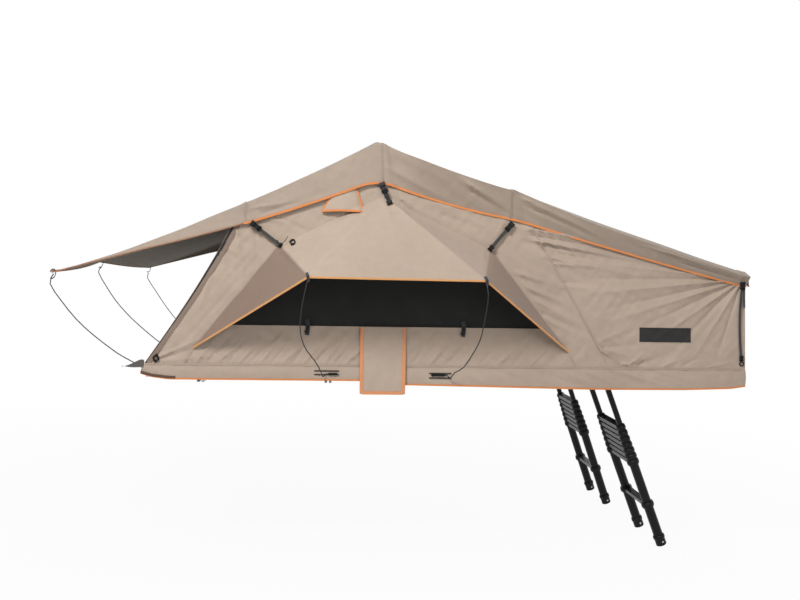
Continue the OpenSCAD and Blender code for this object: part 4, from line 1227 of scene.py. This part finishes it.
# %% [markdown]
# ## Orange binding
# The binding folds over every raw hem: the fly, the awning, the canopies, the hinge flaps and the skirt.
# Each hem's route comes from the same function as its sheet, so the tape sits on the edge.

# %% Binding on the fly and awning
for node, x0, x1, ride in FLY_RUNS:
    for side_name, side in SIDES.items():
        hem = [fly_point(mix(x0, x1, t), side, 1.0, 1.2) for t in steps_of(90)]
        ride(tape(f"{node}_{side_name}_binding", hem, out_dir(side), 12, BINDING, BIND), "fly")
for side_name, side in SIDES.items():
    hem = [awning_point(side, 1.0, t, 1.2) for t in steps_of(70)]
    # The awning's sides are bound in the darker copy of the orange binding, which is painted shade.
    with_awning(tape(f"awning_{side_name}_binding", hem, out_dir(side), 7, SHADED_AWNING_BINDING, BIND), "fly")
front_hem = [awning_point(a * 2 - 1, 0.0, 1.0) for a in steps_of(120)]
with_awning(tape("awning_front_binding", front_hem, (-1, 0, 0.2), 12, BINDING, BIND), "fly")
end_hem = [end_drop_point(u, 1.0, 1) for u in steps_of(120)]
with_overhang(tape("overhang_fly_drop_binding", end_hem, (1, 0, 0), 10, BINDING, BIND), "fly")
print("fly and awning bound")

# %% Binding on the canopies, flaps and skirts
for side_name, side in SIDES.items():
    corners = {k: hold_out(v, side) for k, v in CANOPY.items()}
    outward = Vector((0, side * 0.8, -0.25))
    left = [corners["foot_left"], corners["corner_left"], corners["middle"]]
    right = [corners["middle"], corners["corner_right"], corners["foot_right"]]
    with_fixed(tape(f"fixed_{side_name}_canopy_binding", left, outward, 10, PALE_BINDING, BIND), "canvas")
    with_fold(tape(f"fold_{side_name}_canopy_binding", right, outward, 10, PALE_BINDING, BIND), "canvas")
    (x0, x1), foot = (FLAP_X[0] + 8, FLAP_X[1] - 8), FLAP_Z[0] + 6
    edges = [flap_point(x0, mix(FLAP_Z[1], foot, t), side, 1) for t in steps_of(24)]
    edges += [flap_point(mix(x0, x1, t), foot, side, 1) for t in steps_of(14)[1:]]
    edges += [flap_point(x1, mix(foot, FLAP_Z[1], t), side, 1) for t in steps_of(24)[1:]]
    with_fixed(tape(f"{side_name}_flap_binding", edges, out_dir(side), 18, FLAP_BINDING, 2.4), "canvas")
    for node, x0, x1, n in SKIRTS:
        hem = [skirt_point(mix(x0, x1, t), 0.0, side, 1) for t in steps_of(60)]
        with_skirt(tape(f"{node}_{side_name}_binding", hem, out_dir(side), 9, BINDING, BIND), node)
print("canopies, flaps and skirts bound")

# %% [markdown]
# ## Seams
# Panels of canvas are joined by flat seams with two rows of stitches. A seam is a tape of canvas on the
# wall's own surface. The fly has such a seam over each bow, where the cloth is doubled.

# %% Seams of the walls and the fly
def wall_route(points, side, lift=1, n=24):
    """Places on a side wall along straight stretches between the given points of X and Z."""
    route = []
    for (x0, z0), (x1, z1) in zip(points, points[1:]):
        route += [wall_point(mix(x0, x1, t), mix(z0, z1, t), side, lift) for t in steps_of(n)[bool(route):]]
    return route


FOOT_SEAM_Z = SEAM_Z + 3
OVERHANG_SEAMS = {
    "join": ([(732, 1050), (1234, 203), (1332, 137), (1352, SEAM_Z)], 1.5, 40),
    "foot": ([(1294, FOOT_SEAM_Z), (END_X - 2, FOOT_SEAM_Z)], 2, 60),
}
HALF_SEAMS = {
    "fixed": {"foot": ([(-1284, FOOT_SEAM_Z), (-2, FOOT_SEAM_Z)], 2, 70),
              "canopy": ([(-1070, 112), (-1027, 192), (-570, 757)], 1.5, 24)},
    "fold": {"foot": ([(2, FOOT_SEAM_Z), (1288, FOOT_SEAM_Z)], 2, 70),
             "canopy": ([(604, 752), (1050, 190), (1088, 112)], 1.5, 24)},
}


def wall_seam(name, points, side, lift, n):
    return tape(name, wall_route(points, side, lift, n), out_dir(side), SEAM_W, SEAM)


for side_name, side in SIDES.items():
    for half_name, half in HALVES.items():
        for kind, (points, lift, n) in HALF_SEAMS[half_name].items():
            with_half(wall_seam(f"{half_name}_{side_name}_{kind}_seam", points, side, lift, n), half, "canvas")
    for kind, (points, lift, n) in OVERHANG_SEAMS.items():
        with_overhang(wall_seam(f"overhang_{side_name}_{kind}_seam", points, side, lift, n), "canvas")


def fly_cross(x):
    """A route over the fly from one hem to the other, with the direction that the cloth faces on it."""
    stations = [(-1.0, d) for d in steps_of(10)[:0:-1]] + [(a * 2 - 1, 0.0) for a in steps_of(60)]
    stations += [(1.0, d) for d in steps_of(10)[1:]]
    points = [fly_point(x, a, d, 1.2) for a, d in stations]

    def faces(t):
        y = along(points)(t).y
        return Vector((0, y / abs(y) if abs(y) > 1.09 else 0, 0 if abs(y) > 1.1 else 1))
    return points, faces


for name, x, ride in (("left", -750, with_fixed), ("ridge", -8, with_fixed), ("right", 708, with_fold),
                      ("overhang", 2024, with_overhang)):
    ride(tape(f"{name}_bow_seam", *fly_cross(x), SEAM_W, FLY_SEAM, 1.4), "fly")
print("seams sewn")

# %% [markdown]
# ## Zips and guards
# The sloping end wall unzips along both slanted edges: a black zip tape, and beside it a strip of darker
# canvas that is painted shadow along the edge. A strip guards the hem's corner, and slits in the skirt let the window
# rods out.

# %% Zips, guards and slits
for side_name, side in SIDES.items():
    out = out_dir(side)
    heights = [mix(SEAM_Z + 8, 900, t) for t in steps_of(40)]
    zip_line = [wall_point(left_edge(z) + 6, z, side, 1) for z in heights]
    # Beside the zip lies a strip of darker canvas, which is painted shadow along the edge.
    zip_shadow_line = [wall_point(left_edge(z) + 13 + 13 * (z / 900), z, side, 2) for z in heights]
    with_fixed(tape(f"end_zip_{side_name}", zip_line, out, 13, ZIP_TAPE, 3), "canvas")
    with_fixed(tape(f"end_zip_cover_{side_name}", zip_shadow_line, out, 24, ZIP_SHADOW_CANVAS, 2), "canvas")
    guard = [skirt_point(mix(-1286, -1120, t), 0.12, side, 3) for t in steps_of(16)]
    with_frame(tape(f"hem_guard_{side_name}", guard, out, 13, HEM_GUARD, 2.4), -1)
    for half_name, x0, x1 in (("fixed", -366, -230), ("fold", 268, 392)):
        for lip, share in (("upper", 0.66), ("lower", 0.4)):
            slit = [skirt_point(mix(x0, x1, t), share, side, 2) for t in steps_of(12)]
            lip_tape = tape(f"{half_name}_rod_slit_{lip}_{side_name}", slit, out, 6, ZIP_TAPE, 2.4)
            with_frame(lip_tape, HALVES[half_name])
print("zips and slits sewn")

# %% [markdown]
# ## Buckles and rings
# A side release buckle is a moulded block with a waist and a recess, made from a cube that is subdivided,
# inset and bevelled. A lashing ring is a torus with few corners. Both are modelled flat and then turned to
# lie on the cloth.

# %% Hardware
def orient(obj, place, run, outward):
    """Lay a flat piece at a place, with its X along run and its Z outwards, and apply that place."""
    x = Vector(run).normalized()
    z = Vector(outward)
    z = (z - x * z.dot(x)).normalized()
    obj.matrix_world = Matrix.Translation(place) @ Matrix((x, z.cross(x), z)).transposed().to_4x4()
    settle(obj)
    return obj


def moulding(obj, bevel, angle, shade_angle):
    """Round the edges that are sharper than an angle, and finish the piece in black plastic."""
    apply_modifier(obj, "BEVEL", width=bevel, segments=2, limit_method="ANGLE", angle_limit=math.radians(angle))
    obj.data.materials.append(PLASTIC)
    smooth(obj, shade_angle)
    return obj


def buckle(name, length, width, thick):
    obj = primitive(name, bpy.ops.mesh.primitive_cube_add, size=1)
    obj.scale = (length / 1000, width / 1000, thick / 1000)
    settle(obj)
    in_edit(obj, lambda f: True, bpy.ops.mesh.subdivide, number_cuts=5)
    for v in obj.data.vertices:
        share = v.co.x / length * 2000
        v.co.y *= 1 - 0.2 * math.exp(-(((share - 0.15) / 0.35) ** 2))
        v.co.z *= 1 - 0.25 * abs(share) ** 3
    in_edit(obj, lambda f: f.normal.z > 0.9 and abs(f.center.x) < length * 0.00022,
            bpy.ops.mesh.inset, thickness=0.003, depth=-0.002)
    in_edit(obj, lambda f: f.normal.z > 0.9 and f.center.x > length * 0.00034,
            bpy.ops.mesh.inset, thickness=0.002, depth=-0.003)
    return moulding(obj, 0.0014, 40, 35)


def lashing_ring(name, radius, bar, corners, stretch=1.0):
    obj = primitive(name, bpy.ops.mesh.primitive_torus_add, major_segments=corners, minor_segments=12,
                    major_radius=radius / 1000, minor_radius=bar / 1000)
    obj.scale = (stretch, 1, 1)
    settle(obj)
    return moulding(obj, bar * 0.0006, 38, 50)


def facet_out(facet, x, z):
    """How far a point of a canopy's facet lies from the wall, in mm."""
    return sum(share * CANOPY[k][1] for share, k in zip(facet_weights(facet, x, z), facet))


def facet_normal(facet, side):
    a, b, c = (hold_out(CANOPY[k], side) for k in facet)
    n = (b - a).cross(c - a).normalized()
    return n if n.y * side > 0 else -n


print("hardware helpers ready")

# %% [markdown]
# ## Straps
# Short straps with buckles tie the fly to the canopy's shoulders and peak, and a long one with a loose tail
# holds the fly down at the corner of the overhang. Webbing is laid as a tape that sags a little between its
# ends. Rings take the guy ropes, and an open hook at the end of each rod holds up the awning's hem.

# %% Straps and rings
def strap(name, a, b, out, width, ride, buckle_len, slide_len, finish, bend):
    """Webbing from a to b, bent sideways by some mm, with a buckle at its start and a slide at its far end."""
    side_out, run = Vector(out).normalized(), (b - a).normalized()
    slack = side_out * -0.002 + Vector((bend / 1000, 0, 0))
    points = [a.lerp(b, t) + slack * math.sin(math.pi * t) for t in steps_of(16)]
    ride(tape(f"{name}_webbing", points, out, width, finish, 2.4, 2), "rod")
    lift = side_out * 0.004
    head = buckle(f"{name}_buckle", buckle_len, width + 14, 12)
    ride(orient(head, a + run * buckle_len * 0.0004 + lift, run, out), "rod")
    foot = buckle(f"{name}_slide", slide_len, width + 10, 7)
    ride(orient(foot, b - run * slide_len * 0.0005 + lift, run, out), "rod")


LEFT_FACET = CANOPY_FACETS[1]
RING_X, RING_Z = -490, 772
for side_name, side in SIDES.items():
    out = Vector(out_dir(side))
    def fly_edge(x, stand, z):
        return at(x, side * (FLY_Y + stand), z)

    for name, a, b, width, ride, ends, web, bend in (
        ("left", fly_edge(-714, 16, 876), hold_out((-552, 22, 752), side), 18, with_fixed, (66, 16), GREY_WEBBING, 0),
        ("ridge", fly_edge(-12, 16, 1104), hold_out((36, 48, 990), side), 23, with_fixed, (62, 22), BLACK_WEBBING, 0),
        ("right", fly_edge(716, 6, 900), hold_out((588, 22, 748), side), 19, with_fold, (56, 34), GREY_WEBBING, 0),
        ("end", fly_edge(2030, 12, 600), hold_out((2038, 7, 150), side), 13, with_overhang, (52, 30), WEBBING, -12),
    ):
        strap(f"{name}_{side_name}_strap", a, b, out, width, ride, *ends, web, bend)
    tail = [fly_edge(2038 + 6 * t, 12, 562 - 110 * t) for t in steps_of(8)]
    with_overhang(tape(f"end_{side_name}_strap_tail", tail, out, 10, WEBBING, 2.2), "rod")
    normal = facet_normal(LEFT_FACET, side)
    ring_place = hold_out((RING_X, facet_out(LEFT_FACET, RING_X, RING_Z), RING_Z), side) + normal * 0.005
    with_fixed(orient(lashing_ring(f"canopy_ring_{side_name}", 23, 6, 6, 0.62), ring_place, (1, 0, 0), normal), "rod")
    corner_ring = lashing_ring(f"corner_ring_{side_name}", 15, 5.5, 4, 1.4)
    with_fixed(orient(corner_ring, wall_point(-1225, 133, side, 5), (0.25, 0, 1), out), "rod")
    end_ring = lashing_ring(f"end_ring_{side_name}", 12, 3.5, 8)
    with_overhang(orient(end_ring, wall_point(2042, 134, side, 5), UP, out), "rod")
    for name, dx, dz in (("upper", 34, 44), ("lower", -26, 22)):
        start = hold_out((-552, 24, 764), side)
        pull = [start + Vector((dx * t, side * (12 * math.sin(math.pi * t)), dz * t ** 1.6)) / 1000
                for t in steps_of(8)]
        with_fixed(tape(f"canopy_pull_{name}_{side_name}", pull, out, 3.5, ZIP_TAPE, 2), "rod")
    for corner, ride in (("corner_left", with_fixed), ("corner_right", with_fold)):
        x, reach, z = CANOPY[corner]
        bends = ((x - 6, reach - 18, z + 22), (x, reach + 7, z + 6), (x + 5, reach - 4, z - 24))
        loop = [hold_out(place, side) for place in bends]
        ride(tape(f"canopy_{corner}_loop_{side_name}", loop, out, 15, WEBBING, 2.6, 1.5, 12), "rod")
for rod_name, (x, y, z) in zip(("near", "middle", "far"), AWNING_HEM):
    hook = lashing_ring(f"awning_hook_{rod_name}", 16, 2.2, 24, 1.6)
    in_edit(hook, lambda f: f.center.x < 0.006 and f.center.y > 0.003, bpy.ops.mesh.delete, type="FACE")
    in_edit(hook, lambda f: True, bpy.ops.mesh.fill_holes, sides=0)
    with_awning(orient(hook, at(x + 4, y * 0.998, z - 13), (0.3, 0, 1), (0, -1, 0)), "rod")
print("straps and rings tied")

# %% [markdown]
# ## Small cloth pieces
# A vent hood stands off the wall under the ridge, a plain dark patch is sewn on the overhang, ties hang at
# the window's sill, and a dark flap covers the socket of each outer awning rod.

# %% Vent hoods, patches, ties and flaps
VENT_X, VENT_Z, VENT_TAPER = (-337, -112), 948, (62, 42)
PATCH_X, PATCH_Z, PATCH_HEM = (1453, 1746), (251, 332), 4
FLAP_TIP, FLAP_ROOT_X, FLAP_ROOT_Y, FLAP_ROOT_Z = (-1420, 1076, 76), -1290, 1094, (84, 120)
HUMP, HUMP_AT = 0.014, 0.26
for side_name, side in SIDES.items():
    out = out_dir(side)

    def vent_point(u, t, lift=0):
        x = mix(VENT_X[0] + VENT_TAPER[0] * t, VENT_X[1] - VENT_TAPER[1] * t, u)
        z = mix(VENT_Z + 5 * math.sin(math.pi * u), fly_hem(x) + 18, t)
        bulge = 24 * (1 - t) ** 0.7 * (0.6 + 0.4 * math.sin(math.pi * u)) + 8
        bulge += max(0, facet_out(LEFT_FACET, x, z))
        return at(x, side * (WALL_Y + bulge * min(1, 8 * min(u, 1 - u) + 0.45) + lift), z)

    vent = lay_grid(f"vent_hood_{side_name}", 22, 14, vent_point, (0.23, 0.11), None, side > 0)
    with_fixed(finish_sheet(vent, CANVAS, CANVAS_IN), "canvas")
    rim = [vent_point(0, t, 1) for t in steps_of(10)[::-1]] + [vent_point(u, 0, 1) for u in steps_of(16)[1:]]
    rim += [vent_point(1, t, 1) for t in steps_of(10)[1:]]
    with_fixed(tape(f"vent_binding_{side_name}", rim, out, 11, BINDING, 2.4), "canvas")

    patch = lay_grid(f"overhang_patch_{side_name}", 40, 14,
                     lambda u, t: wall_point(mix(*PATCH_X, u), mix(*PATCH_Z, t), side, 2.2), (0.29, 0.08),
                     None, side > 0)
    with_overhang(finish_sheet(patch, PATCH, thick=1.8), "canvas")
    (x0, x1), (z0, z1) = ((low + PATCH_HEM, high - PATCH_HEM) for low, high in (PATCH_X, PATCH_Z))
    frame_line = wall_route([(x0, z0), (x1, z0), (x1, z1), (x0, z1), (x0, z0)], side, 2.6, 14)
    with_overhang(tape(f"overhang_patch_edge_{side_name}", frame_line, out, 5, ZIP_TAPE, 1.4), "canvas")

    for name, x, half in (("left", -409, -1), ("right", 453, 1)):
        hang = [wall_point(x + 5 * math.sin(3 * t), mix(352, 268, t), side, 4 + 5 * math.sin(math.pi * t))
                for t in steps_of(12)]
        with_half(tape(f"window_tie_{name}_{side_name}", hang, out, 22, WEBBING, 2.2), half, "rod")
        toggle = buckle(f"window_toggle_{name}_{side_name}", 40, 16, 10)
        with_half(orient(toggle, wall_point(x, 300, side, 14), (0.3, 0, 1), out), half, "rod")

    def socket_flap_place(u, t):
        tip = at(FLAP_TIP[0], side * FLAP_TIP[1], FLAP_TIP[2])
        root = at(FLAP_ROOT_X, side * FLAP_ROOT_Y, mix(*FLAP_ROOT_Z, t))
        hump = HUMP * t * (u / HUMP_AT) * math.exp(1 - u / HUMP_AT)
        rise = hump - 0.006 * math.sin(math.pi * u) + 0.01 * u * (1 - t)
        return root.lerp(tip, u * 0.95) + Vector((0, 0, rise))

    cover = lay_grid(f"socket_flap_{side_name}", 16, 8, socket_flap_place, (0.17, 0.05), None, side < 0)
    with_frame(finish_sheet(cover, DARK_FLAP, thick=1.6), -1)
print("vents, patches, ties and flaps sewn")

# %% [markdown]
# ## Ladder fittings
# Each sliding section gets two barrel-shaped collar grips, two latch buttons and grip strips on its rung.
# They are modelled in the ladder's own upright frame, joined, copied for the other ladder and then leaned.
# The feet end in rounded rubber soles with a rivet on each side.

# %% Ladder fittings
STILE_SPACING, FIRST_COLLAR, COLLAR_PITCH, RUNG_PITCH, FOOT_SECTION = 435, 354, 36.7, 272, 268
STILES = (-STILE_SPACING / 2, STILE_SPACING / 2)
FOOT_TUBE, TUBE_STEP, COLLAR_WALL = 56, 2.8, 12
LADDER_LEAN = {"near": 20.5, "far": 19}
LADDER_PIVOT = (1325, 553.5, 66)


def collar_drop(i):
    """The distance from a ladder's pivot down to a section's collar, in mm."""
    return FIRST_COLLAR + 6 * COLLAR_PITCH + RUNG_PITCH if i == 1 else FIRST_COLLAR + (8 - i) * COLLAR_PITCH


def placed(size, middle):
    """Scale and move the active object, both in mm, and apply that."""
    obj = bpy.context.object
    obj.scale = size
    obj.location = Vector(middle) / 1000
    settle(obj)
    return obj


def finished(obj, finish, angle):
    obj.data.materials.append(finish)
    smooth(obj, angle)
    return obj


def grip(radius, y, z, bead=5):
    clear_selection()
    bpy.ops.mesh.primitive_torus_add(major_segments=40, minor_segments=12, major_radius=(radius - 1) / 1000,
                                     minor_radius=bead / 1000)
    return finished(placed((1, 1, 3), (0, y, z)), COLLAR, 60)


def block(size, middle, finish, round_mm):
    clear_selection()
    bpy.ops.mesh.primitive_cube_add(size=0.001)
    obj = placed(size, middle)
    apply_modifier(obj, "BEVEL", width=round_mm / 1000, segments=3, limit_method="ANGLE")
    return finished(obj, finish, 40)


def dome(radius, flat, middle, finish):
    clear_selection()
    bpy.ops.mesh.primitive_uv_sphere_add(segments=32, ring_count=16, radius=radius / 1000)
    return finished(placed(flat, middle), finish, 60)


def joined(name, pieces):
    clear_selection()
    for piece in pieces:
        piece.select_set(True)
    bpy.context.view_layer.objects.active = pieces[0]
    bpy.ops.object.join()
    obj = bpy.context.object
    obj.name = obj.data.name = name
    return obj


def section_fittings(i):
    radius, middle = (FOOT_TUBE - TUBE_STEP * (i - 1) + COLLAR_WALL) / 2, -collar_drop(i) - 17
    pieces = [grip(radius, y, middle) for y in STILES]
    pieces += [block((8, 30, 13), (23, y, middle), PLASTIC, 2.5) for y in (-150, 150)]
    pieces += [block((4, STILE_SPACING - 84, 3), (x, 0, middle + 13.5), RUBBER, 1.2) for x in (-12, 0, 12)]
    if i == 1:
        end = -collar_drop(1) - FOOT_SECTION
        for y in STILES:
            pieces += [dome(31, (1, 1, 0.38), (0, y, end - 5), RUBBER), grip(32, y, end + 42, 4)]
            pieces += [dome(6, (1, 0.5, 1), (6, y + face * 31, end + 12), STEEL) for face in (-1, 1)]
    return pieces


for i in range(1, 9):
    model = joined(f"near_ladder_fittings_{i}", section_fittings(i))
    twin = model.copy()
    twin.data = model.data.copy()
    twin.name = twin.data.name = f"far_ladder_fittings_{i}"
    bpy.context.collection.objects.link(twin)
    for side_name, obj in (("near", model), ("far", twin)):
        pivot = at(LADDER_PIVOT[0], SIDES[side_name] * LADDER_PIVOT[1], LADDER_PIVOT[2])
        lean = Matrix.Rotation(math.radians(-LADDER_LEAN[side_name]), 4, "Y")
        obj.matrix_world = Matrix.Translation(pivot) @ lean
        settle(obj)
        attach(obj, f"{side_name}_section_{i}")
print("ladder fittings made")

# %% [markdown]
# ## Camera
# The camera stands where the picture was taken from: its place, its turn and its lens were fitted to the
# straight edges of the base and the ladders. Its three directions are written as the columns of a matrix.

# %% Camera
EYE = (0.395, -6.493, 0.619)
YAW, PITCH, ROLL, FOCAL_PX = 0.064, -0.028, 0.016, 979
PICTURE_WIDTH, SENSOR_WIDTH = 800, 36
ahead = Vector((math.sin(YAW) * math.cos(PITCH), math.cos(YAW) * math.cos(PITCH), math.sin(PITCH)))
level = Vector((math.cos(YAW), -math.sin(YAW), 0))
upright = level.cross(ahead)
cam_x = level * math.cos(ROLL) + upright * math.sin(ROLL)
cam_y = upright * math.cos(ROLL) - level * math.sin(ROLL)
clear_selection()
bpy.ops.object.camera_add(location=(0, 0, 0))
camera = bpy.context.object
camera.matrix_world = Matrix.Translation(EYE) @ Matrix((cam_x, cam_y, -ahead)).transposed().to_4x4()
camera.data.sensor_width = SENSOR_WIDTH
camera.data.lens = FOCAL_PX / PICTURE_WIDTH * SENSOR_WIDTH
bpy.context.scene.camera = camera
print("lens:", round(camera.data.lens, 2), "mm")

# %% [markdown]
# ## Light, floor and background
# A soft lamp above and to the left of the camera shows the creases. A larger lamp on the right and the pale
# surroundings fill the shadows, and a third lamp stands behind the tent. To the camera the background is
# white. The floor lies under the feet of the ladders and fades into it with distance.

# %% Light and floor
def soft_lamp(name, place, target, size, power):
    clear_selection()
    bpy.ops.object.light_add(type="AREA", location=place)
    lamp = bpy.context.object
    lamp.name = name
    lamp.data.shape = "DISK"
    lamp.data.size = size
    lamp.data.energy = power
    lamp.rotation_euler = (Vector(target) - Vector(place)).to_track_quat("-Z", "Y").to_euler()


FILL_STRENGTH, FLOOR_WHITE, FADE_PER_M = 0.37, 0.92, 0.012
soft_lamp("key_lamp", (-1.7, -5.0, 4.5), (0.6, -0.8, 0.4), 1.4, 312)
soft_lamp("back_lamp", (2.5, 6.5, 4.0), (0.7, 0.5, 0.4), 3.0, 130)
soft_lamp("fill_lamp", (2.6, -6.6, 2.4), (0.6, 0, 0.4), 3.5, 76)

world = bpy.context.scene.world or bpy.data.worlds.new("surroundings")
bpy.context.scene.world = world
world.use_nodes = True
tree = world.node_tree
tree.nodes.clear()
path, out = tree.nodes.new("ShaderNodeLightPath"), tree.nodes.new("ShaderNodeOutputWorld")
fill, white = (tree.nodes.new("ShaderNodeBackground") for _ in range(2))
for background, strength in ((fill, FILL_STRENGTH), (white, 1.0)):
    background.inputs["Color"].default_value = (1, 1, 1, 1)
    background.inputs["Strength"].default_value = strength
seen, seen_too = (tree.nodes.new("ShaderNodeMath") for _ in range(2))
seen.operation = seen_too.operation = "MAXIMUM"
choose = tree.nodes.new("ShaderNodeMixShader")
for a, b in (
    (path.outputs["Is Camera Ray"], seen.inputs[0]), (path.outputs["Is Glossy Ray"], seen.inputs[1]),
    (seen.outputs[0], seen_too.inputs[0]), (path.outputs["Is Transmission Ray"], seen_too.inputs[1]),
    (seen_too.outputs[0], choose.inputs["Fac"]), (fill.outputs[0], choose.inputs[1]),
    (white.outputs[0], choose.inputs[2]), (choose.outputs[0], out.inputs["Surface"]),
):
    tree.links.new(a, b)

FLOOR_Z = cad_box[0][2] - 0.016
floor = primitive("floor", bpy.ops.mesh.primitive_plane_add, size=120, location=(0, 0, FLOOR_Z))
settle(floor)
floor_finish = Nodes("pale_floor", 0.95)
floor_finish.shader.inputs["Base Color"].default_value = (0.7, 0.7, 0.7, 1)
floor_path = floor_finish.add("LightPath")
straight = floor_finish.math("MAXIMUM", floor_path.outputs["Is Camera Ray"], floor_path.outputs["Is Glossy Ray"])
straight = floor_finish.math("MAXIMUM", straight, floor_path.outputs["Is Transmission Ray"])
floor_mix = floor_finish.add("MixShader")
spread = floor_finish.add("VectorMath", operation="LENGTH")
floor_finish.link(floor_finish.place("Object"), spread.inputs[0])
whiter = floor_finish.math("ADD", floor_finish.math("MULTIPLY", spread.outputs["Value"], FADE_PER_M), FLOOR_WHITE)
whiter = floor_finish.math("MINIMUM", whiter, 1.0)
floor_finish.link(floor_finish.math("MULTIPLY", straight, whiter), floor_mix.inputs["Fac"])
floor_finish.link(floor_finish.shader.outputs[0], floor_mix.inputs[1])
floor_finish.link(floor_finish.add("Emission", Strength=1.0).outputs[0], floor_mix.inputs[2])
floor_finish.link(floor_mix.outputs[0], floor_finish.tree.nodes["Material Output"].inputs["Surface"])
floor.data.materials.append(floor_finish.material)
bpy.context.scene.view_settings.view_transform = "Standard"
print("floor at", round(FLOOR_Z, 3), "m")
